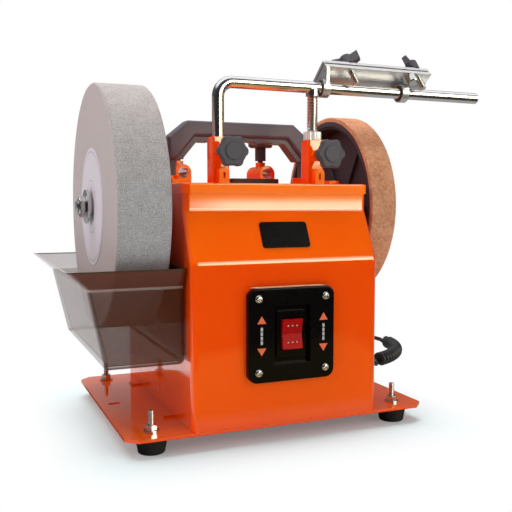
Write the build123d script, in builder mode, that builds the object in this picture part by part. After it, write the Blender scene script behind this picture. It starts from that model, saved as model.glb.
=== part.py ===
"""Wet sharpening machine: a water stone and a leather honing wheel on one slow spindle.

Millimetres, +Z up. X runs along the spindle, the stone at -X and the honing wheel at +X.
Y = 0 is the spindle axis, with the switch at the front (-Y), X = 0 is the casing's middle,
and Z = 0 is the bench under the rubber feet.
"""

import math
import os

from build123d import *

os.makedirs("parts", exist_ok=True)

# Clearances
running_gap = 0.05  # radial play of a shaft in its bore
slide_gap = 0.3  # free space between pieces that move past each other
lap_gap = 0.2  # between sheet-metal pieces that lap or nest

# Feet and base plate
foot_height = 16
foot_top_diameter = 31
foot_bottom_diameter = 25
foot_inset_x = 28  # from the plate's end to a foot's axis
foot_inset_y = 22  # from the plate's front or back edge to a foot's axis
foot_stud_diameter = 6
foot_stud_depth = 10  # of the stud in the rubber
foot_stud_top = 20  # of the stud above the plate
foot_washer_diameter = 15
foot_washer_thickness = 1.6
foot_nut_width = 10  # across the flats
foot_nut_height = 5
plate_thickness = 3
plate_length = 318
plate_corner_cut = 11
slot_inset = 16  # from the plate's end to the middle of a bench slot
slot_length = 14
slot_width = 7

# Casing, folded from sheet
casing_width = 196
casing_front = 134  # from the spindle axis to the front panel
casing_back = 122  # from the spindle axis to the back panel
casing_height = 228.5  # above the base plate
casing_sheet = 2
upper_front_height = 24  # of the upright strip above the sloped panel
slope_height = 48
slope_setback = 23.5
crease_radius = 9
bend_radius = 6
tab_length = 16
tab_reach = 11
tab_spacing = 136  # between the two fixing tabs on each side
vent_length = 60
vent_width = 5
vent_pitch = 12
vent_count = 6
vent_height = 150  # of the grille's middle above the base plate

# Top cap with its folded lip, sleeves, pad and handle
cap_sheet = 1.8
lip_height = 10
cap_edge_radius = 1.5
lug_size = 12
lug_height = 5
lug_spacing = 176
lug_forward = 55
sleeve_spacing = 104
sleeve_side = 18
sleeve_corner = 2.5
front_sleeve_forward = 78
front_sleeve_height = 45.5
foot_lug_width = 10.5
foot_lug_height = 16
foot_lug_depth = 9
foot_slot_width = 2
foot_slot_height = 6
rear_sleeve_start = 38  # behind the spindle axis
rear_sleeve_length = 42
rear_sleeve_radius = 9.5
rear_bore_height = 15.5  # above the cap
weld_nut_width = 11
weld_nut_height = 4.5
pad_width = 55
pad_depth = 46
pad_height = 6.5
pad_front = 51  # in front of the spindle axis
pad_corner = 4
bracket_width = 14
bracket_depth = 34
bracket_height = 10
handle_behind = -2  # handle's middle plane behind the spindle axis
handle_depth = 25
handle_height = 58.5  # of the grip's top above the brackets
handle_grip_height = 16.5
handle_top_half = 62
handle_shoulder_half = 84
handle_shoulder_drop = 18
handle_leg_width = 15
handle_body_drop = 41  # from the grip's top to the full-depth body's lower ends
handle_foot_width = 9
handle_post_width = 6
handle_post_depth = 8
handle_post_inset = 7  # of the posts' middles from the shoulders' sides
bracket_inset = 3.5
handle_corner = 8
handle_edge = 3.5
handle_lip_depth = 17
handle_lip_height = 5.5  # of the narrower lip inside the bridge
finger_count = 4
finger_pitch = 20
finger_radius = 16
finger_depth = 1.8

# Star knobs with a moulded-in stud
knob_stud_diameter = 6
knob_height_on_sleeve = 29.5  # of the front knobs' axes above the cap
knob_hub_diameter = 13
knob_hub_length = 16
knob_head_thickness = 8
knob_core_diameter = 27
knob_lobe_count = 6
knob_lobe_radius = 5
knob_lobe_circle = 21
knob_lobe_blend = 2
knob_edge = 1.5
knob_disc_diameter = 16
knob_disc_height = 1.4
front_knob_standoff = 6
rear_knob_standoff = 2

# Switch and badge
switch_plate_width = 90
switch_plate_height = 90
switch_plate_thickness = 7
switch_plate_corner = 9
switch_plate_edge = 1.5
switch_axis_height = 87  # of the switch's middle above the base plate
switch_recess_width = 38
switch_recess_height = 56
switch_recess_depth = 5
switch_screw_spacing = 70
switch_screw_diameter = 4
switch_screw_length = 12
switch_screw_head_diameter = 8
switch_screw_head_height = 2.6
switch_flange_width = 31
switch_flange_height = 45
switch_flange_thickness = 2
switch_body_width = 25
switch_body_height = 34.5
switch_body_depth = 30
switch_wall = 1.5
rocker_width = 20.6
rocker_height = 28.6
rocker_stand = 1.6  # of its middle ridge in front of the flange
rocker_rise = 2.6  # of its ends in front of the ridge
rocker_depth = 7
rocker_pivot_depth = 4  # of its axle behind the flange's face
badge_width = 50
badge_height = 27
badge_thickness = 1.2
badge_corner = 3

# Spindle with the stone
spindle_drop = 21  # of the spindle's axis below the casing's top
shaft_diameter = 12
stone_diameter = 250
stone_width = 50
stone_offset = 14.5  # between the casing's side and the stone's inner face
stone_edge = 1.5
label_diameter = 120
label_thickness = 0.4
lock_nut_height = 4
nut_height = 7
nut_width = 19
washer_diameter = 35
washer_thickness = 1.2
shaft_stub = 2.2  # beyond the outer nuts
flange_diameter = 50
flange_thickness = 4

# Bearings in the side walls
bush_diameter = 16
bush_length = 28
bush_collar_diameter = 22
bush_collar_thickness = 2
bearing_boss_diameter = 25
bearing_boss_length = 22
bearing_flange_diameter = 38
bearing_flange_thickness = 4

# Honing wheel, driven inside its rim
wheel_diameter = 205
wheel_width = 30
wheel_offset = 12.5  # from the casing's side to the wheel
leather_thickness = 5
leather_edge = 1.5
rim_thickness = 5
web_thickness = 6
wheel_hub_diameter = 40
wheel_hub_reach = 8  # of the hub beyond the rim towards the casing
wheel_rib_count = 6
wheel_rib_height = 4
wheel_rib_thickness = 4
rib_rim_gap = 1  # between the ribs' ends and the rim
drive_ring_thickness = 3
drive_ring_width = 18
drive_ring_inset = 1
wheel_washer_thickness = 2.5

# Motor, whose roller drives the ring in the honing wheel
roller_diameter = 15
roller_length = 14
motor_shaft_diameter = 10
motor_can_diameter = 108
motor_can_wall = 4
motor_can_length = 84
motor_middle = -6  # of the can, from the casing's middle
end_cover_thickness = 6
end_cover_boss_diameter = 34
end_cover_boss_length = 9
stator_length = 48
stator_bore = 62
rotor_diameter = 61
rotor_length = 46
motor_shaft_tail = 6  # beyond the end cover's boss
wall_hole_diameter = 26  # in the casing's side for the motor shaft
cradle_plate_thickness = 5
cradle_spacing = 56
cradle_width = 100
cradle_foot_reach = 16
cradle_wrap = 22  # of the saddle's horns above the can's lowest line
capacitor_diameter = 34
capacitor_length = 62
capacitor_behind = 82
capacitor_right = -40

# Water trough on two shouldered screws
trough_wall = 2.5
trough_floor = 3
trough_gap = 1.5  # between the casing's side and the trough
trough_bottom_drop = 146  # below the spindle's axis
trough_ledge_drop = 73.5
trough_rim_drop = 55.5
trough_bottom_length = 74.5
trough_ledge_length = 89.5
trough_rim_length = 109.5
trough_bottom_front = 119
trough_ledge_front = 119
trough_rim_front = 129
trough_bottom_back = 104
trough_ledge_back = 120
trough_rim_back = 131
trough_corner = 6
trough_bottom_edge = 5
hanger_spacing = 120
hanger_drop = 78.5  # below the spindle's axis
hanger_shank_diameter = 6
hanger_head_diameter = 11
hanger_head_thickness = 2.5
trough_lift = 9  # from hanging to unhooked

# Support arm
bar_diameter = 12
bar_bend = 15  # of the bar's middle line
arm_height = 100  # of the arm's axis above the cap
arm_reach = 261  # of the arm's right end from the casing's middle
leg_length = 114  # from the arm's axis down
weld_collar_diameter = 14
weld_collar_height = 3
micro_nut_diameter = 18.7
micro_nut_height = 8.4
micro_nut_flutes = 12
micro_nut_flute_radius = 1.6

# Clamping jig that slides and tilts on the arm
jig_lean = 39  # of the clamp screws from upright, towards the back
bush_wall = 2.2  # of the jig's liners on the arm
ear_wall = 1.4
ear_width = 8
ear_plate_thickness = 3
ear_left_inset = 3  # of the left ear's middle from the plates' left end
ear_right_inset = 32
jig_plate_start = 62
jig_plate_length = 131
jig_plate_front = 21
jig_plate_rear = 10
jig_plate_thickness = 3.5
jig_gap = 2  # between base and clamp plate
jig_plate_corner = 3
jig_stand = 4  # of the base above the arm
clamp_screw_left_inset = 33
clamp_screw_right_inset = 15
clamp_screw_forward = 15.5  # from the arm's axis along the plates
clamp_screw_diameter = 6
clamp_screw_below = 17.5  # beyond the base plate's underside
thumb_nut_diameter = 11.5
thumb_nut_height = 10
wing_length = 28
wing_left_turn = -35  # from along the arm
wing_right_turn = 30
wing_height = 11
wing_thickness = 5.5
wing_hub_diameter = 13
wing_hub_height = 12
wing_dip = 4  # of the wings' tops at the hub below their tips

# Mains lead with a curly stretch
wire_diameter = 6.2
gland_height = 17  # above the base plate
gland_behind = 84
gland_nut_width = 18
gland_nut_thickness = 4
gland_length = 30
gland_tip_diameter = 9
curl_radius = 6.7  # of the wire's middle line
curl_pitch = 7.5
curl_count = 18
curl_lead_in = 1  # turns over which the spiral opens and closes
curl_lead_pitch = 26
curl_start = (229, 98.5)
curl_heading = 10  # degrees from +X
curl_bend = 130  # radius of the curled stretch's own curve
lead_straight = 16  # of the lead at the gland and before the curls
tail_run = 21
tail_turn = 19  # degrees between the tail's runs
tail_bends = 6
plug_diameter = 37
plug_length = 36
plug_neck_diameter = 12
plug_neck_length = 18
plug_pin_diameter = 4.8
plug_pin_length = 19
plug_pin_spacing = 19

# Levels and places worked out from the sizes above
plate_top = foot_height + plate_thickness
casing_top = plate_top + casing_height
spindle_z = casing_top - spindle_drop
crease_high = casing_top - upper_front_height
crease_low = crease_high - slope_height
upper_front = casing_front - slope_setback
cap_top = casing_top + cap_sheet
side = casing_width / 2
stud_x = plate_length / 2 - foot_inset_x
stud_front = casing_front - foot_inset_y
stud_back = casing_back - foot_inset_y
plate_middle = (casing_back - casing_front) / 2
sleeve_x = sleeve_spacing / 2
bar_bore = bar_diameter + 2 * running_gap
sleeve_top = cap_top + front_sleeve_height
rear_bore_z = cap_top + rear_bore_height
switch_z = plate_top + switch_axis_height
arm_z = cap_top + arm_height


def save(piece, name):
    """Label a finished piece and write it."""
    piece.part.label = name
    export_step(piece.part, f"parts/{name}.step")


def foot_places():
    """The four foot axes in the plan."""
    return Locations(
        (-stud_x, -stud_front), (stud_x, -stud_front), (-stud_x, stud_back), (stud_x, stud_back)
    )


# Base plate with clipped corners, stud holes and two bench slots
with BuildPart() as base_plate:
    with BuildSketch(Plane.XY.offset(foot_height)) as plate_outline:
        with Locations((0, plate_middle)):
            Rectangle(plate_length, casing_front + casing_back)
        chamfer(plate_outline.vertices(), plate_corner_cut)
        with foot_places():
            Circle(foot_stud_diameter / 2 + running_gap, mode=Mode.SUBTRACT)
        with Locations((0, plate_middle)):
            with GridLocations(plate_length - 2 * slot_inset, 0, 2, 1):
                SlotOverall(slot_length, slot_width, mode=Mode.SUBTRACT)
    extrude(amount=plate_thickness)
save(base_plate, "base_plate")

# Rubber feet, tapered, with a blind hole for the stud
with BuildPart() as rubber_feet:
    with BuildSketch(Plane.XY):
        with foot_places():
            Circle(foot_bottom_diameter / 2)
    taper = math.degrees(math.atan2(foot_top_diameter - foot_bottom_diameter, 2 * foot_height))
    extrude(amount=foot_height, taper=-taper)
    with BuildSketch(Plane.XY.offset(foot_height)):
        with foot_places():
            Circle(foot_stud_diameter / 2 + running_gap)
    extrude(amount=-foot_stud_depth, mode=Mode.SUBTRACT)
    fillet(rubber_feet.faces().sort_by(Axis.Z)[0:4].edges(), 1.2)
save(rubber_feet, "rubber_feet")

with BuildPart() as foot_studs:
    with BuildSketch(Plane.XY.offset(foot_height - foot_stud_depth)):
        with foot_places():
            Circle(foot_stud_diameter / 2)
    extrude(amount=foot_stud_depth + plate_thickness + foot_stud_top)
    chamfer(foot_studs.faces().filter_by(Axis.Z).group_by(Axis.Z)[-1].edges(), 0.8)
save(foot_studs, "foot_studs")

with BuildPart() as foot_washers:
    with BuildSketch(Plane.XY.offset(plate_top)):
        with foot_places():
            Circle(foot_washer_diameter / 2)
            Circle(foot_stud_diameter / 2 + running_gap, mode=Mode.SUBTRACT)
    extrude(amount=foot_washer_thickness)
save(foot_washers, "foot_washers")

with BuildPart() as foot_nuts:
    with BuildSketch(Plane.XY.offset(plate_top + foot_washer_thickness)):
        with foot_places():
            RegularPolygon(foot_nut_width / 2, 6, major_radius=False)
            Circle(foot_stud_diameter / 2 + running_gap, mode=Mode.SUBTRACT)
    extrude(amount=foot_nut_height)
save(foot_nuts, "foot_nuts")

# Casing: front with a sloped upper panel, sides and back from one folded sheet
hanger_z = spindle_z - hanger_drop
ring_radius = wheel_diameter / 2 - leather_thickness - rim_thickness - drive_ring_thickness
motor_z = spindle_z - (ring_radius - slide_gap - roller_diameter / 2)
gland_z = plate_top + gland_height
hub_bore = shaft_diameter + 2 * running_gap

with BuildPart() as casing:
    with BuildSketch(Plane.YZ.offset(-side)):
        with BuildLine():
            Polyline(
                (-casing_front, plate_top),
                (-casing_front, crease_low),
                (-upper_front, crease_high),
                (-upper_front, casing_top),
                (casing_back, casing_top),
                (casing_back, plate_top),
                close=True,
            )
        make_face()
    extrude(amount=casing_width)
    creases = casing.edges().filter_by(Axis.X)
    fillet(creases.filter_by_position(Axis.Z, plate_top + 1, casing_top - 1), crease_radius)
    at_sides = casing.edges().filter_by(lambda edge: abs(abs(edge.center().X) - side) < 0.001)
    fillet(at_sides - casing.edges().filter_by(Axis.Y), bend_radius)
    offset(amount=-casing_sheet, openings=casing.faces().filter_by(Axis.Z))
    # Spindle bushes through both sides
    with BuildSketch(Plane.YZ.offset(-side - 1)):
        with Locations((0, spindle_z)):
            Circle(bush_diameter / 2 + running_gap)
    extrude(amount=casing_width + 2, mode=Mode.SUBTRACT)
    # Motor shaft and mains lead through the right side
    with BuildSketch(Plane.YZ.offset(side + 1)):
        with Locations((0, motor_z)):
            Circle(wall_hole_diameter / 2)
        with Locations((gland_behind, gland_z)):
            Circle(wire_diameter / 2 + running_gap)
    extrude(amount=-casing_sheet - 2, mode=Mode.SUBTRACT)
    # Hanger screws in the left side
    with BuildSketch(Plane.YZ.offset(-side - 1)):
        with Locations((0, hanger_z)):
            with GridLocations(hanger_spacing, 0, 2, 1):
                Circle(hanger_shank_diameter / 2 + running_gap)
    extrude(amount=casing_sheet + 2, mode=Mode.SUBTRACT)
    # Switch opening and its screw holes
    with BuildSketch(Plane.XZ.offset(casing_front + 1)):
        with Locations((0, switch_z)):
            Rectangle(switch_body_width + 2 * slide_gap, switch_body_height + 2 * slide_gap)
            with GridLocations(switch_screw_spacing, switch_screw_spacing, 2, 2):
                Circle(switch_screw_diameter / 2 + running_gap)
    extrude(amount=-casing_sheet - 2, mode=Mode.SUBTRACT)
    # Cooling slots in the back
    with BuildSketch(Plane.XZ.offset(-casing_back - 1)):
        with Locations((0, plate_top + vent_height)):
            with GridLocations(0, vent_pitch, 1, vent_count):
                SlotOverall(vent_length, vent_width)
    extrude(amount=casing_sheet + 2, mode=Mode.SUBTRACT)
save(casing, "casing")

# Fixing tabs that hold the casing's sides down on the base plate
with BuildPart() as casing_tabs:
    with BuildSketch(Plane.XY.offset(plate_top)):
        for way in (-1, 1):
            with Locations((way * (side + tab_reach / 2), 0)):
                with GridLocations(0, tab_spacing, 1, 2):
                    Rectangle(tab_reach, tab_length)
    extrude(amount=casing_sheet)
save(casing_tabs, "casing_tabs")

# Cap: a shallow tray over the casing's upper edge
cap_lap = lap_gap + cap_sheet
cap_middle = (casing_back - upper_front) / 2
with BuildPart() as top_cap:
    with BuildSketch(Plane.XY.offset(cap_top - lip_height)):
        with Locations((0, cap_middle)):
            RectangleRounded(
                casing_width + 2 * cap_lap,
                upper_front + casing_back + 2 * cap_lap,
                bend_radius + cap_lap,
            )
    extrude(amount=lip_height)
    fillet(top_cap.faces().sort_by(Axis.Z)[-1].edges(), cap_edge_radius)
    offset(amount=-cap_sheet, openings=top_cap.faces().sort_by(Axis.Z)[0])
    with BuildSketch(Plane.XY.offset(cap_top + 1)):
        with Locations((0, -front_sleeve_forward)):
            with GridLocations(sleeve_spacing, 0, 2, 1):
                Circle(bar_diameter / 2 + slide_gap)
    extrude(amount=-cap_sheet - 2, mode=Mode.SUBTRACT)
    with BuildSketch(Plane.XY.offset(cap_top)):
        with Locations((0, -lug_forward)):
            with GridLocations(lug_spacing, 0, 2, 1):
                Rectangle(lug_size, lug_size)
    extrude(amount=lug_height)
save(top_cap, "top_cap")

# Upright sleeves for the support arm, each with a welded nut at the front
front_knob_z = cap_top + knob_height_on_sleeve
front_nut_face = front_sleeve_forward + sleeve_side / 2 + weld_nut_height
foot_lug_face = front_sleeve_forward + sleeve_side / 2 + foot_lug_depth
foot_lug_round = cap_top + foot_lug_height - foot_lug_width / 2
with BuildPart() as front_sleeves:
    with BuildSketch(Plane.XY.offset(cap_top)):
        with Locations((0, -front_sleeve_forward)):
            with GridLocations(sleeve_spacing, 0, 2, 1):
                RectangleRounded(sleeve_side, sleeve_side, sleeve_corner)
    extrude(amount=front_sleeve_height)
    with BuildSketch(Plane.XZ.offset(front_nut_face)):
        with Locations((0, front_knob_z)):
            with GridLocations(sleeve_spacing, 0, 2, 1):
                RegularPolygon(weld_nut_width / 2, 6, major_radius=False)
    extrude(amount=-weld_nut_height)
    # Round-topped lugs with a slot at the sleeves' feet
    with BuildSketch(Plane.XZ.offset(foot_lug_face)):
        with Locations((0, foot_lug_round)):
            with GridLocations(sleeve_spacing, 0, 2, 1):
                Circle(foot_lug_width / 2)
                Rectangle(foot_lug_width, foot_lug_round - cap_top, align=(Align.CENTER, Align.MAX))
    extrude(amount=-foot_lug_depth)
    with BuildSketch(Plane.XZ.offset(foot_lug_face)):
        with Locations((0, foot_lug_round)):
            with GridLocations(sleeve_spacing, 0, 2, 1):
                Rectangle(foot_slot_width, foot_slot_height, align=(Align.CENTER, Align.MAX))
    extrude(amount=-foot_lug_depth / 3, mode=Mode.SUBTRACT)
    with BuildSketch(Plane.XY.offset(cap_top)):
        with Locations((0, -front_sleeve_forward)):
            with GridLocations(sleeve_spacing, 0, 2, 1):
                Circle(bar_bore / 2)
    extrude(amount=front_sleeve_height, mode=Mode.SUBTRACT)
    with BuildSketch(Plane.XZ.offset(front_nut_face)):
        with Locations((0, front_knob_z)):
            with GridLocations(sleeve_spacing, 0, 2, 1):
                Circle(knob_stud_diameter / 2 + running_gap)
    extrude(amount=-weld_nut_height - sleeve_side / 2, mode=Mode.SUBTRACT)
save(front_sleeves, "front_sleeves")

# Level sleeves behind the handle, round above and square on the cap
rear_nut_top = rear_bore_z + rear_sleeve_radius + weld_nut_height
rear_knob_behind = rear_sleeve_start + rear_sleeve_length / 2
with BuildPart() as rear_sleeves:
    with BuildSketch(Plane.XZ.offset(-rear_sleeve_start)):
        with Locations((0, rear_bore_z)):
            with GridLocations(sleeve_spacing, 0, 2, 1):
                Circle(rear_sleeve_radius)
                Rectangle(
                    2 * rear_sleeve_radius, rear_bore_height, align=(Align.CENTER, Align.MAX)
                )
    extrude(amount=-rear_sleeve_length)
    with BuildSketch(Plane.XY.offset(rear_nut_top)):
        with Locations((0, rear_knob_behind)):
            with GridLocations(sleeve_spacing, 0, 2, 1):
                RegularPolygon(weld_nut_width / 2, 6, major_radius=False)
    extrude(amount=rear_bore_z - rear_nut_top)
    with BuildSketch(Plane.XZ.offset(-rear_sleeve_start)):
        with Locations((0, rear_bore_z)):
            with GridLocations(sleeve_spacing, 0, 2, 1):
                Circle(bar_bore / 2)
    extrude(amount=-rear_sleeve_length, mode=Mode.SUBTRACT)
    with BuildSketch(Plane.XY.offset(rear_nut_top)):
        with Locations((0, rear_knob_behind)):
            with GridLocations(sleeve_spacing, 0, 2, 1):
                Circle(knob_stud_diameter / 2 + running_gap)
    extrude(amount=rear_bore_z - rear_nut_top, mode=Mode.SUBTRACT)
save(rear_sleeves, "rear_sleeves")


def star_knob(seat, standoff, stud_below):
    """A lobed knob whose stud enters the welded nut at the seat plane."""
    hub_start = seat.offset(standoff)
    head_start = hub_start.offset(knob_hub_length)
    with BuildPart() as knob:
        with BuildSketch(head_start) as head_outline:
            Circle(knob_core_diameter / 2)
            with PolarLocations(knob_lobe_circle / 2, knob_lobe_count):
                Circle(knob_lobe_radius)
            fillet(head_outline.vertices(), knob_lobe_blend)
        extrude(amount=knob_head_thickness)
        chamfer(knob.faces().filter_by(head_start).edges(), knob_edge)
        with BuildSketch(hub_start):
            Circle(knob_hub_diameter / 2)
        extrude(amount=knob_hub_length)
        with BuildSketch(head_start.offset(knob_head_thickness)):
            Circle(knob_disc_diameter / 2)
        extrude(amount=knob_disc_height)
        with BuildSketch(seat.offset(-stud_below)):
            Circle(knob_stud_diameter / 2)
        extrude(amount=stud_below + standoff)
    return knob


# Four clamp knobs: the stud ends just short of what it clamps
front_stud = front_nut_face - front_sleeve_forward - bar_diameter / 2 - slide_gap
rear_stud = rear_nut_top - rear_bore_z - bar_bore / 2 - slide_gap
for end, way in (("left", -1), ("right", 1)):
    front_seat = Plane(
        origin=(way * sleeve_x, -front_nut_face, front_knob_z), x_dir=(1, 0, 0), z_dir=(0, -1, 0)
    )
    save(star_knob(front_seat, front_knob_standoff, front_stud), f"front_knob_{end}")
    rear_seat = Plane(origin=(way * sleeve_x, rear_knob_behind, rear_nut_top))
    save(star_knob(rear_seat, rear_knob_standoff, rear_stud), f"rear_knob_{end}")

# Rubber rest pad on the cap
with BuildPart() as rest_pad:
    with BuildSketch(Plane.XY.offset(cap_top)):
        with Locations((0, pad_depth / 2 - pad_front)):
            RectangleRounded(pad_width, pad_depth, pad_corner)
    extrude(amount=pad_height)
    fillet(rest_pad.faces().sort_by(Axis.Z)[-1].edges(), 1.2)
save(rest_pad, "rest_pad")

# Carry handle: a moulded bridge with a narrower inner lip, on two low brackets
bracket_middle = handle_shoulder_half - bracket_inset
post_middle = handle_shoulder_half - handle_post_inset
leg_base = cap_top + bracket_height
grip_top = leg_base + handle_height
grip_under = grip_top - handle_grip_height
shoulder_z = grip_top - handle_shoulder_drop
body_end = grip_top - handle_body_drop
inner_foot = handle_shoulder_half - handle_foot_width
inner_slope = handle_top_half - handle_leg_width / 2
leg_slant = math.atan2(grip_under - body_end, inner_foot - inner_slope)
lip_foot = inner_foot - handle_lip_height / math.sin(leg_slant)
lip_corner = inner_slope - handle_lip_height * math.tan(leg_slant / 2)
with BuildPart() as handle_brackets:
    with BuildSketch(Plane.XY.offset(cap_top)):
        with Locations((0, handle_behind)):
            with GridLocations(2 * bracket_middle, 0, 2, 1):
                RectangleRounded(bracket_width, bracket_depth, 2)
    extrude(amount=bracket_height)
save(handle_brackets, "handle_brackets")

with BuildPart() as carry_handle:
    with BuildSketch(Plane.XZ.offset(handle_depth / 2 - handle_behind)) as bridge:
        with BuildLine():
            half = Polyline(
                (0, grip_top),
                (handle_top_half, grip_top),
                (handle_shoulder_half, shoulder_z),
                (handle_shoulder_half, body_end),
                (inner_foot, body_end),
                (inner_slope, grip_under),
                (0, grip_under),
            )
            mirror(half, about=Plane.YZ)
        make_face()
        corners = bridge.vertices().filter_by(lambda v: v.Z > body_end + 1 and abs(v.X) > 1)
        fillet(corners, handle_corner)
    extrude(amount=-handle_depth)
    fillet(carry_handle.faces().filter_by(Axis.Y).edges(), handle_edge)
    # Inner lip, then the posts on the brackets
    with BuildSketch(Plane.XZ.offset(handle_lip_depth / 2 - handle_behind)) as lip:
        with BuildLine():
            half = Polyline(
                (0, grip_under + 1),
                (inner_slope + 1, grip_under + 1),
                (inner_foot + 1, body_end + 1),
                (inner_foot + 1, body_end),
                (lip_foot, body_end),
                (lip_corner, grip_under - handle_lip_height),
                (0, grip_under - handle_lip_height),
            )
            mirror(half, about=Plane.YZ)
        make_face()
        with Locations((0, grip_under - handle_lip_height - finger_radius + finger_depth)):
            with GridLocations(finger_pitch, 0, finger_count, 1):
                Circle(finger_radius, mode=Mode.SUBTRACT)
    extrude(amount=-handle_lip_depth)
    with BuildSketch(Plane.XY.offset(leg_base)):
        with Locations((0, handle_behind)):
            with GridLocations(2 * post_middle, 0, 2, 1):
                Rectangle(handle_post_width, handle_post_depth)
    extrude(amount=body_end + handle_edge - leg_base)
save(carry_handle, "carry_handle")

# Switch plate with a recess, its screws and the rocker switch
plate_face = casing_front + switch_plate_thickness
recess_floor = plate_face - switch_recess_depth
with BuildPart() as switch_plate:
    with BuildSketch(Plane.XZ.offset(casing_front)):
        with Locations((0, switch_z)):
            RectangleRounded(switch_plate_width, switch_plate_height, switch_plate_corner)
    extrude(amount=switch_plate_thickness)
    fillet(switch_plate.faces().sort_by(Axis.Y)[0].edges(), switch_plate_edge)
    with BuildSketch(Plane.XZ.offset(plate_face)):
        with Locations((0, switch_z)):
            RectangleRounded(switch_recess_width, switch_recess_height, 2)
    extrude(amount=-switch_recess_depth, mode=Mode.SUBTRACT)
    with BuildSketch(Plane.XZ.offset(plate_face)):
        with Locations((0, switch_z)):
            Rectangle(switch_body_width + 2 * slide_gap, switch_body_height + 2 * slide_gap)
            with GridLocations(switch_screw_spacing, switch_screw_spacing, 2, 2):
                Circle(switch_screw_diameter / 2 + running_gap)
    extrude(amount=-switch_plate_thickness, mode=Mode.SUBTRACT)
save(switch_plate, "switch_plate")

with BuildPart() as switch_screws:
    with BuildSketch(Plane.XZ.offset(plate_face)):
        with Locations((0, switch_z)):
            with GridLocations(switch_screw_spacing, switch_screw_spacing, 2, 2):
                Circle(switch_screw_head_diameter / 2)
    extrude(amount=switch_screw_head_height)
    fillet(switch_screws.faces().group_by(Axis.Y)[0].edges(), switch_screw_head_height * 0.6)
    with BuildSketch(Plane.XZ.offset(plate_face)):
        with Locations((0, switch_z)):
            with GridLocations(switch_screw_spacing, switch_screw_spacing, 2, 2):
                Circle(switch_screw_diameter / 2)
    extrude(amount=-switch_screw_length)
save(switch_screws, "switch_screws")

flange_face = recess_floor + switch_flange_thickness
rocker_axle_y = -(flange_face - rocker_pivot_depth)
with BuildPart() as switch_housing:
    with BuildSketch(Plane.XZ.offset(recess_floor)):
        with Locations((0, switch_z)):
            RectangleRounded(switch_flange_width, switch_flange_height, 2)
    extrude(amount=switch_flange_thickness)
    with BuildSketch(Plane.XZ.offset(recess_floor)):
        with Locations((0, switch_z)):
            Rectangle(switch_body_width, switch_body_height)
    extrude(amount=-switch_body_depth)
    with BuildSketch(Plane.XZ.offset(flange_face)):
        with Locations((0, switch_z)):
            Rectangle(switch_body_width - 2 * switch_wall, switch_body_height - 2 * switch_wall)
    extrude(amount=-rocker_pivot_depth - rocker_depth, mode=Mode.SUBTRACT)
save(switch_housing, "switch_housing")

# Rocker: a shallow V in front, round behind about its axle
with BuildPart() as rocker:
    with BuildSketch(Plane.YZ.offset(-rocker_width / 2)) as rocker_side:
        ridge_y = -(flange_face + rocker_stand)
        tip_y = ridge_y - rocker_rise
        with BuildLine():
            Polyline(
                (ridge_y, switch_z),
                (tip_y, switch_z + rocker_height / 2),
                (tip_y + rocker_rise + rocker_stand, switch_z + rocker_height / 2),
                (rocker_axle_y, switch_z + rocker_height / 2 - 1.5),
                (rocker_axle_y + rocker_depth / 2, switch_z),
                (rocker_axle_y, switch_z - rocker_height / 2 + 1.5),
                (tip_y + rocker_rise + rocker_stand, switch_z - rocker_height / 2),
                (tip_y, switch_z - rocker_height / 2),
                close=True,
            )
        make_face()
    extrude(amount=rocker_width)
    with BuildSketch(Plane.YZ.offset(-switch_body_width / 2 + switch_wall + running_gap)):
        with Locations((rocker_axle_y, switch_z)):
            Circle(1.5)
    extrude(amount=switch_body_width - 2 * switch_wall - 2 * running_gap)
save(rocker, "rocker")

# Bare badge plate on the sloped panel
slope_angle = math.degrees(math.atan2(slope_setback, slope_height))
slope_plane = Plane(
    origin=(0, -(casing_front + upper_front) / 2, (crease_low + crease_high) / 2),
    x_dir=(1, 0, 0),
    z_dir=(0, -math.cos(math.radians(slope_angle)), math.sin(math.radians(slope_angle))),
)
with BuildPart() as badge_plate:
    with BuildSketch(slope_plane):
        RectangleRounded(badge_width, badge_height, badge_corner)
    extrude(amount=badge_thickness)
save(badge_plate, "badge_plate")


def disc(piece_start, thickness, diameter):
    """A round slice on the spindle axis, from a place along X towards +X."""
    with BuildSketch(Plane.YZ.offset(piece_start)) as outline:
        with Locations((0, spindle_z)):
            Circle(diameter / 2)
            Circle(hub_bore / 2, mode=Mode.SUBTRACT)
    extrude(outline.sketch, amount=thickness)


def hex_nut(piece_start, thickness):
    """A hexagon nut on the spindle, from a place along X towards +X."""
    with BuildSketch(Plane.YZ.offset(piece_start)) as outline:
        with Locations((0, spindle_z)):
            RegularPolygon(nut_width / 2, 6, major_radius=False)
            Circle(hub_bore / 2, mode=Mode.SUBTRACT)
    extrude(outline.sketch, amount=thickness)


# Stone, its paper label, and the clamping hardware on the spindle
stone_right = side + stone_offset
stone_left = stone_right + stone_width
label_face = -stone_left - label_thickness
lock_nut_face = label_face - lock_nut_height
washer_face = lock_nut_face - 2 * washer_thickness
outer_nut_face = washer_face - nut_height
shaft_left = outer_nut_face - shaft_stub
inner_flange_face = -stone_right + flange_thickness
collar_face = -side - bush_collar_thickness
inner_nut_space = collar_face - slide_gap - inner_flange_face
wheel_left = side + wheel_offset
wheel_right = wheel_left + wheel_width
wheel_nut_face = wheel_right + wheel_washer_thickness
shaft_right = wheel_nut_face + nut_height + shaft_stub

with BuildPart() as grindstone:
    disc(-stone_left, stone_width, stone_diameter)
    rims = grindstone.edges().filter_by(GeomType.CIRCLE).group_by(SortBy.RADIUS)[-1]
    chamfer(rims, stone_edge)
save(grindstone, "grindstone")

with BuildPart() as stone_label:
    disc(label_face, label_thickness, label_diameter)
save(stone_label, "stone_label")

with BuildPart() as stone_flanges:
    disc(washer_face, washer_thickness, washer_diameter)
    disc(-stone_right, flange_thickness, flange_diameter)
save(stone_flanges, "stone_flanges")

with BuildPart() as spindle_washers:
    disc(washer_face + washer_thickness, washer_thickness, washer_diameter)
    disc(wheel_right, wheel_washer_thickness, washer_diameter)
save(spindle_washers, "spindle_washers")

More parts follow.
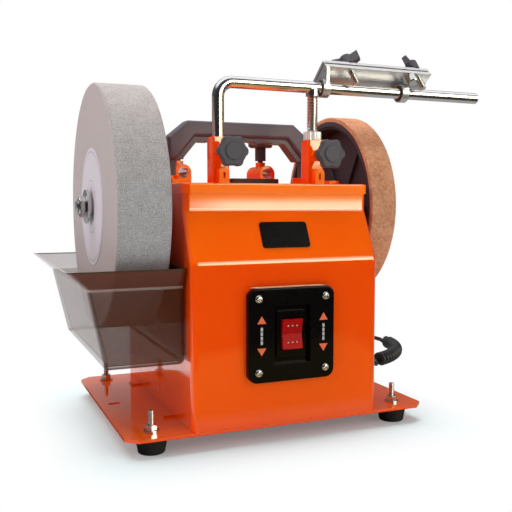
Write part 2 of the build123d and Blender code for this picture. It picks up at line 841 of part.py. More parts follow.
with BuildPart() as spindle_nuts:
    hex_nut(outer_nut_face, nut_height)
    hex_nut(lock_nut_face, lock_nut_height)
    hex_nut(inner_flange_face, inner_nut_space)
    hex_nut(wheel_nut_face, nut_height)
save(spindle_nuts, "spindle_nuts")

with BuildPart() as main_shaft:
    with BuildSketch(Plane.YZ.offset(shaft_left)):
        with Locations((0, spindle_z)):
            Circle(shaft_diameter / 2)
    extrude(amount=shaft_right - shaft_left)
    chamfer(main_shaft.edges().filter_by(GeomType.CIRCLE), 1)
save(main_shaft, "main_shaft")

# Bearings: a flanged housing inside each side wall, with a plain bush through both
with BuildPart() as bearing_housings:
    for way in (-1, 1):
        wall_inside = Plane.YZ.offset(way * (side - casing_sheet))
        with BuildSketch(wall_inside):
            with Locations((0, spindle_z)):
                Circle(bearing_flange_diameter / 2)
        extrude(amount=-way * bearing_flange_thickness)
        with BuildSketch(wall_inside):
            with Locations((0, spindle_z)):
                Circle(bearing_boss_diameter / 2)
        extrude(amount=-way * bearing_boss_length)
        with BuildSketch(wall_inside):
            with Locations((0, spindle_z)):
                Circle(bush_diameter / 2 + running_gap)
        extrude(amount=-way * bearing_boss_length, mode=Mode.SUBTRACT)
save(bearing_housings, "bearing_housings")

with BuildPart() as bearing_bushes:
    for way in (-1, 1):
        with BuildSketch(Plane.YZ.offset(way * side)):
            with Locations((0, spindle_z)):
                Circle(bush_collar_diameter / 2)
        extrude(amount=way * bush_collar_thickness)
        with BuildSketch(Plane.YZ.offset(way * side)):
            with Locations((0, spindle_z)):
                Circle(bush_diameter / 2)
        extrude(amount=-way * (bush_length - bush_collar_thickness))
    with BuildSketch(Plane.YZ.offset(-side - bush_collar_thickness)):
        with Locations((0, spindle_z)):
            Circle(hub_bore / 2)
    extrude(amount=casing_width + 2 * bush_collar_thickness, mode=Mode.SUBTRACT)
save(bearing_bushes, "bearing_bushes")

# Honing wheel: a ribbed dish open towards the casing
rim_radius = wheel_diameter / 2 - leather_thickness
web_face = wheel_right - web_thickness
hub_left = wheel_left - wheel_hub_reach
rim_inside = rim_radius - rim_thickness
with BuildPart() as honing_rim:
    with BuildSketch(Plane.YZ.offset(wheel_left)):
        with Locations((0, spindle_z)):
            Circle(rim_radius)
            Circle(rim_inside, mode=Mode.SUBTRACT)
    extrude(amount=wheel_width)
save(honing_rim, "honing_rim")

with BuildPart() as honing_wheel:
    with BuildSketch(Plane.YZ.offset(web_face)):
        with Locations((0, spindle_z)):
            Circle(rim_inside)
    extrude(amount=web_thickness)
    rib_length = rim_inside - rib_rim_gap - wheel_hub_diameter / 2 + 2
    with BuildSketch(Plane.YZ.offset(web_face)):
        with Locations((0, spindle_z)):
            with PolarLocations(wheel_hub_diameter / 2 - 2, wheel_rib_count):
                Rectangle(rib_length, wheel_rib_thickness, align=(Align.MIN, Align.CENTER))
    extrude(amount=-wheel_rib_height)
    with BuildSketch(Plane.YZ.offset(hub_left)):
        with Locations((0, spindle_z)):
            Circle(wheel_hub_diameter / 2)
    extrude(amount=web_face - hub_left)
    with BuildSketch(Plane.YZ.offset(hub_left)):
        with Locations((0, spindle_z)):
            Circle(hub_bore / 2)
    extrude(amount=wheel_right - hub_left, mode=Mode.SUBTRACT)
save(honing_wheel, "honing_wheel")

with BuildPart() as drive_ring:
    with BuildSketch(Plane.YZ.offset(wheel_left + drive_ring_inset)):
        with Locations((0, spindle_z)):
            Circle(ring_radius + drive_ring_thickness - running_gap)
            Circle(ring_radius, mode=Mode.SUBTRACT)
    extrude(amount=drive_ring_width)
save(drive_ring, "drive_ring")

with BuildPart() as leather_band:
    with BuildSketch(Plane.YZ.offset(wheel_left)):
        with Locations((0, spindle_z)):
            Circle(wheel_diameter / 2)
            Circle(rim_radius + running_gap, mode=Mode.SUBTRACT)
    extrude(amount=wheel_width)
    outer_rims = leather_band.edges().filter_by(GeomType.CIRCLE).group_by(SortBy.RADIUS)[-1]
    fillet(outer_rims, leather_edge)
save(leather_band, "leather_band")

# Motor: can, stator, end covers, and a shaft with the drive roller
can_left = motor_middle - motor_can_length / 2
can_right = motor_middle + motor_can_length / 2
shaft_tail = can_left - end_cover_thickness - end_cover_boss_length - motor_shaft_tail
roller_left = wheel_left + drive_ring_inset + (drive_ring_width - roller_length) / 2
motor_bore = motor_shaft_diameter + 2 * running_gap


def motor_ring(piece_start, thickness, outer, inner):
    """A ring on the motor's axis, from a place along X towards +X."""
    with BuildSketch(Plane.YZ.offset(piece_start)) as outline:
        with Locations((0, motor_z)):
            Circle(outer / 2)
            Circle(inner / 2, mode=Mode.SUBTRACT)
    extrude(outline.sketch, amount=thickness)


with BuildPart() as motor_can:
    can_bore = motor_can_diameter - 2 * motor_can_wall
    motor_ring(can_left, motor_can_length, motor_can_diameter, can_bore)
save(motor_can, "motor_can")

with BuildPart() as stator_core:
    stator_outer = motor_can_diameter - 2 * motor_can_wall - 2 * running_gap
    motor_ring(motor_middle - stator_length / 2, stator_length, stator_outer, stator_bore)
save(stator_core, "stator_core")

with BuildPart() as motor_end_covers:
    motor_ring(can_right, end_cover_thickness, motor_can_diameter, motor_bore)
    motor_ring(
        can_right + end_cover_thickness, end_cover_boss_length, end_cover_boss_diameter, motor_bore
    )
    motor_ring(can_left - end_cover_thickness, end_cover_thickness, motor_can_diameter, motor_bore)
    motor_ring(
        can_left - end_cover_thickness - end_cover_boss_length,
        end_cover_boss_length,
        end_cover_boss_diameter,
        motor_bore,
    )
save(motor_end_covers, "motor_end_covers")

with BuildPart() as motor_shaft:
    with BuildSketch(Plane.YZ.offset(shaft_tail)):
        with Locations((0, motor_z)):
            Circle(motor_shaft_diameter / 2)
    extrude(amount=roller_left + roller_length - shaft_tail)
    with BuildSketch(Plane.YZ.offset(motor_middle - rotor_length / 2)):
        with Locations((0, motor_z)):
            Circle(rotor_diameter / 2)
    extrude(amount=rotor_length)
save(motor_shaft, "motor_shaft")

with BuildPart() as drive_roller:
    motor_ring(roller_left, roller_length, roller_diameter, motor_bore)
save(drive_roller, "drive_roller")

# Cradle: two saddle plates on feet, bolted to the base plate under the motor
can_bottom = motor_z - motor_can_diameter / 2
with BuildPart() as motor_cradle:
    for way in (-1, 1):
        plate_start = motor_middle + way * cradle_spacing / 2 - cradle_plate_thickness / 2
        with BuildSketch(Plane.YZ.offset(plate_start)):
            with Locations((0, plate_top)):
                Rectangle(
                    cradle_width,
                    can_bottom + cradle_wrap - plate_top,
                    align=(Align.CENTER, Align.MIN),
                )
            with Locations((0, motor_z)):
                Circle(motor_can_diameter / 2 + lap_gap, mode=Mode.SUBTRACT)
        extrude(amount=cradle_plate_thickness)
        with BuildSketch(Plane.XY.offset(plate_top)):
            with Locations((motor_middle + way * (cradle_spacing + cradle_foot_reach) / 2, 0)):
                Rectangle(cradle_foot_reach, cradle_width)
        extrude(amount=cradle_plate_thickness)
save(motor_cradle, "motor_cradle")

with BuildPart() as capacitor:
    with BuildSketch(Plane.YZ.offset(capacitor_right - capacitor_length / 2)):
        with Locations((capacitor_behind, plate_top + capacitor_diameter / 2)):
            Circle(capacitor_diameter / 2)
    extrude(amount=capacitor_length)
save(capacitor, "capacitor")

# Trough: tapered smoked shell with a flared rim, hung by two keyholes
trough_right = side + trough_gap
trough_levels = (
    (trough_bottom_drop, trough_bottom_length, trough_bottom_front, trough_bottom_back),
    (trough_ledge_drop, trough_ledge_length, trough_ledge_front, trough_ledge_back),
    (trough_rim_drop, trough_rim_length, trough_rim_front, trough_rim_back),
)


def trough_form(inset, floor, lift):
    """The trough's tapered form, drawn in by a wall, with a raised floor and lifted top."""
    rises = (floor, 0, lift)
    with BuildPart() as form:
        for (drop, length, front, back), rise in zip(trough_levels, rises):
            inner_length = length - 2 * inset
            inner_depth = front + back - 2 * inset
            with BuildSketch(Plane.XY.offset(spindle_z - drop + rise)):
                with Locations((-trough_right - length / 2, (back - front) / 2)):
                    RectangleRounded(inner_length, inner_depth, trough_corner - inset)
        loft(ruled=True)
        fillet(form.faces().sort_by(Axis.Z)[0].edges(), trough_bottom_edge - inset)
    return form.part


trough_inside = trough_form(trough_wall, trough_floor, 0)
with BuildPart() as water_trough:
    add(trough_form(0, 0, 0))
    add(trough_inside, mode=Mode.SUBTRACT)
    # Keyholes: a narrow slot over the shank with a round hole for the head below
    with BuildSketch(Plane.YZ.offset(-trough_right + 1)):
        with Locations((0, hanger_z)):
            with GridLocations(hanger_spacing, 0, 2, 1):
                Circle(hanger_shank_diameter / 2 + slide_gap)
                with Locations((0, -trough_lift / 2)):
                    Rectangle(hanger_shank_diameter + 2 * slide_gap, trough_lift)
                with Locations((0, -trough_lift - slide_gap)):
                    Circle(hanger_head_diameter / 2 + slide_gap)
    extrude(amount=-trough_wall - 2, mode=Mode.SUBTRACT)
save(water_trough, "water_trough")

# Shouldered screws in the casing's left side that carry the trough
head_start = -trough_right - trough_wall - slide_gap
with BuildPart() as trough_hangers:
    with BuildSketch(Plane.YZ.offset(-side + casing_sheet)):
        with Locations((0, hanger_z)):
            with GridLocations(hanger_spacing, 0, 2, 1):
                Circle(hanger_shank_diameter / 2)
    extrude(amount=head_start + side - casing_sheet)
    with BuildSketch(Plane.YZ.offset(head_start)):
        with Locations((0, hanger_z)):
            with GridLocations(hanger_spacing, 0, 2, 1):
                Circle(hanger_head_diameter / 2)
    extrude(amount=-hanger_head_thickness)
save(trough_hangers, "trough_hangers")

# Support arm: one bent bar with a threaded leg welded under it
arm_y = -front_sleeve_forward
leg_foot = arm_z - leg_length
with BuildPart() as support_bar:
    with BuildLine() as bar_run:
        FilletPolyline(
            (-sleeve_x, arm_y, leg_foot),
            (-sleeve_x, arm_y, arm_z),
            (arm_reach, arm_y, arm_z),
            radius=bar_bend,
        )
    with BuildSketch(Plane.XY.offset(leg_foot)):
        with Locations((-sleeve_x, arm_y)):
            Circle(bar_diameter / 2)
    sweep(path=bar_run.wires()[0])
    with BuildSketch(Plane.XY.offset(leg_foot)):
        with Locations((sleeve_x, arm_y)):
            Circle(bar_diameter / 2)
    extrude(amount=leg_length)
    with BuildSketch(Plane.XY.offset(arm_z)):
        with Locations((sleeve_x, arm_y)):
            Circle(weld_collar_diameter / 2)
    extrude(amount=-bar_diameter / 2 - weld_collar_height)
    chamfer(support_bar.faces().sort_by(Axis.X)[-1].edges(), 1)
    chamfer(support_bar.faces().filter_by(Axis.Z).group_by(Axis.Z)[0].edges(), 1)
save(support_bar, "support_bar")

with BuildPart() as micro_nut:
    with BuildSketch(Plane.XY.offset(sleeve_top + slide_gap)):
        with Locations((sleeve_x, arm_y)):
            Circle(micro_nut_diameter / 2)
            Circle(bar_bore / 2, mode=Mode.SUBTRACT)
            with PolarLocations(micro_nut_diameter / 2 + 0.6, micro_nut_flutes):
                Circle(micro_nut_flute_radius, mode=Mode.SUBTRACT)
    extrude(amount=micro_nut_height)
save(micro_nut, "micro_nut")

# Jig: liners slide along the arm, and the plates tilt about them
lean = math.radians(jig_lean)
jig_plane = Plane(
    origin=(0, arm_y, arm_z), x_dir=(1, 0, 0), z_dir=(0, math.sin(lean), math.cos(lean))
)
bush_outer = bar_bore / 2 + bush_wall
ear_bore = bush_outer + running_gap
ear_outer = ear_bore + ear_wall
plate_under = bar_diameter / 2 + slide_gap + jig_stand
clamp_under = plate_under + jig_plate_thickness + jig_gap
clamp_top = clamp_under + jig_plate_thickness
jig_plate_end = jig_plate_start + jig_plate_length
ear_places = (jig_plate_start + ear_left_inset, jig_plate_end - ear_right_inset)
ear_reaches = (jig_plate_front, ear_outer * 0.6)
screw_left = jig_plate_start + clamp_screw_left_inset
screw_right = jig_plate_end - clamp_screw_right_inset
screw_places = ((screw_left, -clamp_screw_forward), (screw_right, -clamp_screw_forward))

with BuildPart() as jig_liners:
    for ear in ear_places:
        with BuildSketch(Plane.YZ.offset(ear - ear_width / 2)):
            with Locations((arm_y, arm_z)):
                Circle(bush_outer)
                Circle(bar_bore / 2, mode=Mode.SUBTRACT)
        extrude(amount=ear_width)
save(jig_liners, "jig_liners")

with BuildPart() as jig_base:
    with BuildSketch(jig_plane.offset(plate_under)):
        with Locations((jig_plate_start, jig_plate_rear)):
            Rectangle(
                jig_plate_length, jig_plate_front + jig_plate_rear, align=(Align.MIN, Align.MAX)
            )
        with Locations(*screw_places):
            Circle(clamp_screw_diameter / 2 + running_gap, mode=Mode.SUBTRACT)
    extrude(amount=jig_plate_thickness)
    # Grooves over the ears
    for ear in ear_places:
        with BuildSketch(Plane.YZ.offset(ear - ear_width / 2)):
            with Locations((arm_y, arm_z)):
                Circle(ear_outer)
        extrude(amount=ear_width, mode=Mode.SUBTRACT)
save(jig_base, "jig_base")

# Ears: a ring round each liner on an end plate under the base
with BuildPart() as jig_ears:
    for ear, reach in zip(ear_places, ear_reaches):
        with BuildSketch(Plane.YZ.offset(ear - ear_width / 2)):
            with Locations((arm_y, arm_z)):
                Circle(ear_outer)
        extrude(amount=ear_width)
        ear_plane = Plane(
            origin=(ear - ear_plate_thickness / 2, arm_y, arm_z),
            x_dir=jig_plane.y_dir,
            z_dir=(1, 0, 0),
        )
        with BuildSketch(ear_plane):
            with BuildLine():
                Polyline(
                    (-reach, plate_under),
                    (jig_plate_rear, plate_under),
                    (ear_outer, 0),
                    (-ear_outer * 0.6, -ear_outer * 0.8),
                    close=True,
                )
            make_face()
        extrude(amount=ear_plate_thickness)
        with BuildSketch(Plane.YZ.offset(ear - ear_width / 2)):
            with Locations((arm_y, arm_z)):
                Circle(ear_bore)
        extrude(amount=ear_width, mode=Mode.SUBTRACT)
save(jig_ears, "jig_ears")

with BuildPart() as jig_clamp:
    with BuildSketch(jig_plane.offset(clamp_under)) as clamp_outline:
        with Locations((jig_plate_start, jig_plate_rear)):
            Rectangle(
                jig_plate_length, jig_plate_front + jig_plate_rear, align=(Align.MIN, Align.MAX)
            )
        fillet(clamp_outline.vertices(), jig_plate_corner)
        with Locations(*screw_places):
            Circle(clamp_screw_diameter / 2 + running_gap, mode=Mode.SUBTRACT)
    extrude(amount=jig_plate_thickness)
save(jig_clamp, "jig_clamp")

thumb_nut_start = ear_places[1] + ear_plate_thickness / 2 + slide_gap
with BuildPart() as jig_thumb_nut:
    with BuildSketch(jig_plane.offset(plate_under)):
        with Locations((thumb_nut_start + thumb_nut_diameter / 2, -clamp_screw_forward)):
            Circle(thumb_nut_diameter / 2)
    extrude(amount=-thumb_nut_height)
    chamfer(jig_thumb_nut.edges().filter_by(GeomType.CIRCLE).sort_by(Axis.Z)[0], 1)
save(jig_thumb_nut, "jig_thumb_nut")

for end, screw_x, turn in (
    ("left", screw_left, wing_left_turn),
    ("right", screw_right, wing_right_turn),
):
    screw_foot = jig_plane.offset(plate_under - clamp_screw_below)
    with BuildPart() as clamp_screw:
        with BuildSketch(screw_foot):
            with Locations((screw_x, -clamp_screw_forward)):
                Circle(clamp_screw_diameter / 2)
        extrude(amount=clamp_top + slide_gap - plate_under + clamp_screw_below)
        chamfer(clamp_screw.edges().filter_by(GeomType.CIRCLE).sort_by(Axis.Z)[0], 0.8)
    save(clamp_screw, f"clamp_screw_{end}")
    knob_seat = jig_plane.offset(clamp_top + slide_gap)
    along = knob_seat.x_dir
    across = knob_seat.y_dir
    swing = math.radians(turn)
    wing_plane = Plane(
        origin=knob_seat.from_local_coords((screw_x, -clamp_screw_forward, 0)),
        x_dir=along * math.cos(swing) + across * math.sin(swing),
        z_dir=across * math.cos(swing) - along * math.sin(swing),
    )
    with BuildPart() as wing_knob:
        with BuildSketch(knob_seat):
            with Locations((screw_x, -clamp_screw_forward)):
                Circle(wing_hub_diameter / 2)
        extrude(amount=wing_hub_height)
        with BuildSketch(wing_plane.offset(-wing_thickness / 2)) as wing_outline:
            with BuildLine():
                Polyline(
                    (-wing_hub_diameter / 2, -1),
                    (wing_hub_diameter / 2, -1),
                    (wing_length / 2, -wing_dip),
                    (wing_length / 2, -wing_height - wing_dip),
                    (0, -wing_height),
                    (-wing_length / 2, -wing_height - wing_dip),
                    (-wing_length / 2, -wing_dip),
                    close=True,
                )
            make_face()
        extrude(amount=wing_thickness)
    save(wing_knob, f"wing_knob_{end}")

# Mains lead: a tapered gland, a short lead, the curls, a tail and a plug
gland_start = side
gland_tip = gland_start + gland_nut_thickness + gland_length
curl_axis_z = curl_radius + wire_diameter / 2
with BuildPart() as cord_gland:
    with BuildSketch(Plane.YZ.offset(gland_start)):
        with Locations((gland_behind, gland_z)):
            RegularPolygon(gland_nut_width / 2, 6, major_radius=False)
    extrude(amount=gland_nut_thickness)
    with BuildSketch(Plane.YZ.offset(gland_start + gland_nut_thickness)):
        with Locations((gland_behind, gland_z)):
            Circle(gland_nut_width / 2 - 1)
    with BuildSketch(Plane.YZ.offset(gland_tip)):
        with Locations((gland_behind, gland_z)):
            Circle(gland_tip_diameter / 2)
    loft()
save(cord_gland, "cord_gland")


def curl_axis(turn):
    """Place and heading of the curled stretch's own axis after a number of turns."""
    opening = min(turn, curl_lead_in)
    closing = max(turn - curl_lead_in - curl_count, 0)
    steady = turn - opening - closing
    length = steady * curl_pitch + (opening + closing) * curl_lead_pitch
    heading = math.radians(curl_heading) + length / curl_bend
    start = math.radians(curl_heading)
    x = curl_start[0] + curl_bend * (math.sin(heading) - math.sin(start))
    y = curl_start[1] + curl_bend * (math.cos(start) - math.cos(heading))
    return Vector(x, y, curl_axis_z), Vector(math.cos(heading), math.sin(heading), 0)


curl_turns = curl_count + 2 * curl_lead_in


def curl_point(turn):
    """A point of the wire's middle line, opening from the axis and closing back onto it."""
    middle, ahead = curl_axis(turn)
    share = min(turn, curl_turns - turn, curl_lead_in) / curl_lead_in
    spread = curl_radius * share * share * (3 - 2 * share)
    across = Vector(-ahead.Y, ahead.X, 0)
    swing = 2 * math.pi * turn
    return middle + across * (spread * math.cos(swing)) + Vector(0, 0, spread * math.sin(swing))


def curl_direction(turn):
    """The wire's direction at a point of its middle line."""
    step = 1e-4
    before = max(turn - step, 0)
    after = min(turn + step, curl_turns)
    return (curl_point(after) - curl_point(before)).normalized()


def biarc(start, leaving, end, arriving):
    """Two tangent arcs from start to end, along the given directions there."""
    span = end - start
    along = span.dot(leaving + arriving)
    spread = 2 * (1 - leaving.dot(arriving))
    reach = (math.sqrt(along**2 + spread * span.dot(span)) - along) / spread
    middle = (start + end + (leaving - arriving) * reach) * 0.5
    heading = (end - arriving * reach) - (start + leaving * reach)
    TangentArc(start, middle, tangent=leaving)
    TangentArc(middle, end, tangent=heading)


def wire_section(point, direction):
    """The plane square to the wire at a point."""
    return Plane(origin=point, z_dir=direction)


arcs_per_turn = 4
straight_end = wire_diameter
first_point, first_way = curl_axis(0)
last_point, last_way = curl_axis(curl_turns)
with BuildPart() as cord_curls:
    with BuildLine() as curl_line:
        Line(first_point - first_way * straight_end, first_point)
        for quarter in range(curl_turns * arcs_per_turn):
            here = quarter / arcs_per_turn
            there = (quarter + 1) / arcs_per_turn
            biarc(curl_point(here), curl_direction(here), curl_point(there), curl_direction(there))
        Line(last_point, last_point + last_way * straight_end)
    with BuildSketch(wire_section(first_point - first_way * straight_end, first_way)):
        Circle(wire_diameter / 2)
    sweep(path=curl_line.wires()[0])
save(cord_curls, "cord_curls")

samples = 24
wire_points = [curl_point(step / samples) for step in range(curl_turns * samples + 1)]
self_gap = min(
    (wire_points[i] - wire_points[j]).length - wire_diameter
    for i in range(len(wire_points))
    for j in range(i + samples // 2, min(i + 2 * samples, len(wire_points)))
)
curl_arcs = [e.radius for e in curl_line.edges() if e.geom_type == GeomType.CIRCLE]
curl_length = sum(e.length for e in curl_line.edges())
wire_area = math.pi * wire_diameter**2 / 4
print("curls: least gap", round(self_gap, 2), "least radius", round(min(curl_arcs), 2))
curl_share = cord_curls.part.volume / (wire_area * curl_length)
print("curls: length", round(curl_length), "volume share", round(curl_share, 4))


def cord_tube(name, points):
    """A tube along straight runs joined by arcs as large as the runs allow."""
    runs = [b - a for a, b in zip(points, points[1:])]
    radii = []
    for before, after in zip(runs, runs[1:]):
        half_turn = math.radians(before.get_angle(after)) / 2
        radii.append(0.45 * min(before.length, after.length) / math.tan(half_turn))
    with BuildPart() as tube:
        with BuildLine() as middle_line:
            FilletPolyline(*points, radius=radii)
        with BuildSketch(wire_section(points[0], runs[0])):
            Circle(wire_diameter / 2)
        sweep(path=middle_line.wires()[0])
    length = sum(e.length for e in middle_line.edges())
    print(name, "radii", [round(r) for r in radii], "length", round(length))
    print(name, "volume share", round(tube.part.volume / (wire_area * length), 4))
    save(tube, name)


lead_end = first_point - first_way * straight_end
lead_start = Vector(gland_tip + lead_straight, gland_behind, gland_z)
lead_fall = lead_end - first_way * lead_straight - lead_start
lead_points = [Vector(gland_tip, gland_behind, gland_z), lead_start]
for part_way in (0.2, 0.4, 0.6, 0.8, 1):
    ease = part_way**2 * (3 - 2 * part_way)
    step = Vector(lead_fall.X * part_way, lead_fall.Y * ease, lead_fall.Z * ease)
    lead_points.append(lead_start + step)
lead_points.append(lead_end)
cord_tube("cord_lead", lead_points)

# The tail sinks to the bench, turns back behind the casing and rises into the plug
tail_start = last_point + last_way * straight_end
tail_points = [tail_start, tail_start + last_way * lead_straight]
tail_heading = math.degrees(math.atan2(last_way.Y, last_way.X))
bench_z = wire_diameter / 2 + lap_gap
plug_axis_z = plug_diameter / 2
for bend in range(1, tail_bends + 1):
    way = math.radians(tail_heading + tail_turn * bend)
    sunk = curl_axis_z + (bench_z - curl_axis_z) * min(bend / 3, 1)
    risen = (plug_axis_z - bench_z) * max(0, bend - tail_bends + 3) / 2
    level = sunk + min(risen, plug_axis_z - bench_z)
    along = tail_points[-1] + Vector(math.cos(way), math.sin(way), 0) * tail_run
    tail_points.append(Vector(along.X, along.Y, level))
cord_tube("cord_tail", tail_points)
plug_back = tail_points[-1]
plug_way = (tail_points[-1] - tail_points[-2]).normalized()

# Plug lying on its side: neck, body and two pins
neck_plane = Plane(origin=plug_back, x_dir=(0, 0, 1), z_dir=plug_way)
body_plane = neck_plane.offset(plug_neck_length)
face_plane = body_plane.offset(plug_length)
with BuildPart() as cord_plug:
    with BuildSketch(neck_plane):
        Circle(plug_neck_diameter / 2)
    with BuildSketch(body_plane):
        Circle(plug_diameter / 2)
    loft()
    with BuildSketch(body_plane):
        Circle(plug_diameter / 2)
    extrude(amount=plug_length)
    with BuildSketch(face_plane):
        with GridLocations(0, plug_pin_spacing, 1, 2):
            Circle(plug_pin_diameter / 2)
    extrude(amount=plug_pin_length)
save(cord_plug, "cord_plug")
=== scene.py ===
# %% [markdown]
# # A wet sharpening machine
# The real machine is a folded steel box on a steel plate. A slow motor inside drives a water stone on
# one side and a leather honing wheel on the other. This script takes the exact solids of that machine
# as a frame and gives them the surfaces, screws, threads and the mains lead that the eye expects.
# One millimetre is the unit of the drawing, one metre that of Blender, so MM turns one into the other.

# %% Load the solids
import math
import bpy
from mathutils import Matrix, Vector


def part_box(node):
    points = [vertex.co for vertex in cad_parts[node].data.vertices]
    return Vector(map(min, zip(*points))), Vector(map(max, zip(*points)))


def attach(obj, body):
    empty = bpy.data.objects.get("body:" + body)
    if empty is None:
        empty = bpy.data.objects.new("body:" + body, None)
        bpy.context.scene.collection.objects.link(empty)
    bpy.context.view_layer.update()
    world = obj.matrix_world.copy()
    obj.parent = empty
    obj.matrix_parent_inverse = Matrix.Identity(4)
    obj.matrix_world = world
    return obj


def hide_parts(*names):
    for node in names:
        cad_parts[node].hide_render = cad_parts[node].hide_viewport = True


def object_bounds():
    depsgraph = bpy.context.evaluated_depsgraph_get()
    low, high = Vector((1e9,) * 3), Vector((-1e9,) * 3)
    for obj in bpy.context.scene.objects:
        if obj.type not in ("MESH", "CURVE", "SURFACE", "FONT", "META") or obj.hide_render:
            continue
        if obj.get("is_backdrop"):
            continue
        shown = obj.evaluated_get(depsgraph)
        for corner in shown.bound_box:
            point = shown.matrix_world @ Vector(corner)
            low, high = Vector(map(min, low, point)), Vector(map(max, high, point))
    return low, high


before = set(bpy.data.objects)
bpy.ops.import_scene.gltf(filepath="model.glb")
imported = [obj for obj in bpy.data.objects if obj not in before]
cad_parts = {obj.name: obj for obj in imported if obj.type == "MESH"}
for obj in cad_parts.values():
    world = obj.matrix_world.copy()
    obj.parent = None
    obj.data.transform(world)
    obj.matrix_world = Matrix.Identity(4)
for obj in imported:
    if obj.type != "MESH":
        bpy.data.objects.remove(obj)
solid_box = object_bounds()
scene = bpy.context.scene
MM = 0.001

# %% [markdown]
# ## Camera
# The picture was taken from the left, at about the height of the top cap and tilted a little down, with
# a moderately long lens. The place and angles were found by laying the base plate's corners, the cap
# and the arm over the picture.

# %% Camera
look_down = 4.309
look_right = 22.822
eye = bpy.data.objects.new("eye", bpy.data.cameras.new("eye"))
eye.data.lens = 50.8
eye.data.sensor_width = 36
eye.location = (-0.2961, -0.7546, 0.2317)
eye.rotation_euler = (math.radians(90 - look_down), 0, math.radians(-look_right))
scene.collection.objects.link(eye)
scene.camera = eye
scene.view_settings.view_transform = "Standard"
print("camera", [round(c, 3) for c in eye.location])

# %% [markdown]
# ## Mains lead
# The lead comes out of a gland low on the right side, sinks to the bench, runs through a tight stretch
# of curls and ends in a plug that lies behind the machine. It could be a swept mesh, but one NURBS
# spline keeps it a single smooth line whose length can be measured. The curls are points of that same
# line, taken from the formula of a spiral round a bent axis. A spline of order 3 cuts inside its points,
# so the spiral's points lie a little further out than the wire's middle.

# %% Mains lead
wire_radius = 3.1
lead_route = [
    (132, 84, 36), (148, 84, 36), (159.8, 85.1, 33.3), (171.7, 87.7, 26.8),
    (183.5, 90.9, 19), (195.3, 93.5, 12.5), (207.1, 94.6, 9.8), (222.9, 97.4, 9.8),
]
tail_route = [
    (336, 238.2, 9.8), (335.4, 254.2, 9.8), (327.7, 273.7, 7.6), (314.1, 289.7, 5.5),
    (296, 300.4, 3.4), (275.4, 304.6, 10.9), (254.6, 301.9, 18.5), (235.8, 292.6, 18.5),
]
curl_turns = 20
curl_points = 16  # in each turn
curl_pitch = 7.5
end_pitch = 26  # of the first and last turn, which open and close the spiral
curl_radius = 6.83
axis_start = (229, 98.5)
axis_heading = math.radians(10)
axis_bend = 130
axis_height = 9.8


def curl_place(turn):
    """A point of the curls after a number of turns, on a spiral round a bent axis."""
    opening = min(turn, 1)
    closing = max(turn - (curl_turns - 1), 0)
    run = (turn - opening - closing) * curl_pitch + (opening + closing) * end_pitch
    heading = axis_heading + run / axis_bend
    middle_x = axis_start[0] + axis_bend * (math.sin(heading) - math.sin(axis_heading))
    middle_y = axis_start[1] + axis_bend * (math.cos(axis_heading) - math.cos(heading))
    share = min(turn, curl_turns - turn, 1)
    spread = curl_radius * share * share * (3 - 2 * share)
    swing = 2 * math.pi * turn
    across = spread * math.cos(swing)
    return (
        middle_x - math.sin(heading) * across,
        middle_y + math.cos(heading) * across,
        axis_height + spread * math.sin(swing),
    )


curl_route = [curl_place(step / curl_points) for step in range(curl_turns * curl_points + 1)]
route = lead_route + curl_route + tail_route
lead_line = bpy.data.curves.new("mains_lead", "CURVE")
lead_line.dimensions = "3D"
spline = lead_line.splines.new("NURBS")
spline.points.add(len(route) - 1)
for point, place in zip(spline.points, route):
    point.co = (*(Vector(place) * MM), 1)
spline.order_u = 3
spline.use_endpoint_u = True
spline.resolution_u = 4
lead_line.bevel_depth = wire_radius * MM
lead_line.bevel_resolution = 4
lead_line.use_fill_caps = True
mains_lead = bpy.data.objects.new("mains_lead", lead_line)
scene.collection.objects.link(mains_lead)
print("mains lead:", len(route), "points,", round(spline.calc_length(), 3), "m")

# %% [markdown]
# ## A wire for node sheets
# Node sheets get hard to read when every sum is three lines of code. This small class stands for one
# socket on a sheet: plus, minus, times and divided add the Math node, and `node` adds any other node.
# The same class serves for materials and for Geometry Nodes.


# %% Wire
class Wire:
    """One output socket of a node sheet."""

    def __init__(self, sheet, socket=None):
        self.sheet = sheet
        self.socket = socket

    def node(self, kind, settings=None, values=None, out=0):
        """Add a node, make its settings, fill or link its inputs, and return one output."""
        made = self.sheet.nodes.new(kind)
        for name, setting in (settings or {}).items():
            setattr(made, name, setting)
        for name, value in (values or {}).items():
            if isinstance(value, Wire):
                self.sheet.links.new(value.socket, made.inputs[name])
            else:
                made.inputs[name].default_value = value
        return Wire(self.sheet, made.outputs[out])

    def math(self, operation, *values):
        return self.node("ShaderNodeMath", {"operation": operation}, dict(enumerate(values)))

    def __add__(self, other):
        return self.math("ADD", self, other)

    def __sub__(self, other):
        return self.math("SUBTRACT", self, other)

    def __rsub__(self, other):
        return self.math("SUBTRACT", other, self)

    def __mul__(self, other):
        return self.math("MULTIPLY", self, other)

    def __truediv__(self, other):
        return self.math("DIVIDE", self, other)

    def __pow__(self, other):
        return self.math("POWER", self, other)

    def __lt__(self, other):
        return self.math("LESS_THAN", self, other)

    def __gt__(self, other):
        return self.math("GREATER_THAN", self, other)

    def __abs__(self):
        return self.math("ABSOLUTE", self)

    __radd__ = __add__
    __rmul__ = __mul__


def clamp(value):
    """A value held between 0 and 1."""
    return value.node("ShaderNodeClamp", values={"Value": value})


def blend(share, first, second):
    """A colour between two colours."""
    values = {0: share, 6: first, 7: second}
    return share.node("ShaderNodeMix", {"data_type": "RGBA"}, values, 2)


def component(vector, axis):
    """One of the three numbers of a vector."""
    return vector.node("ShaderNodeSeparateXYZ", values={"Vector": vector}, out=axis)


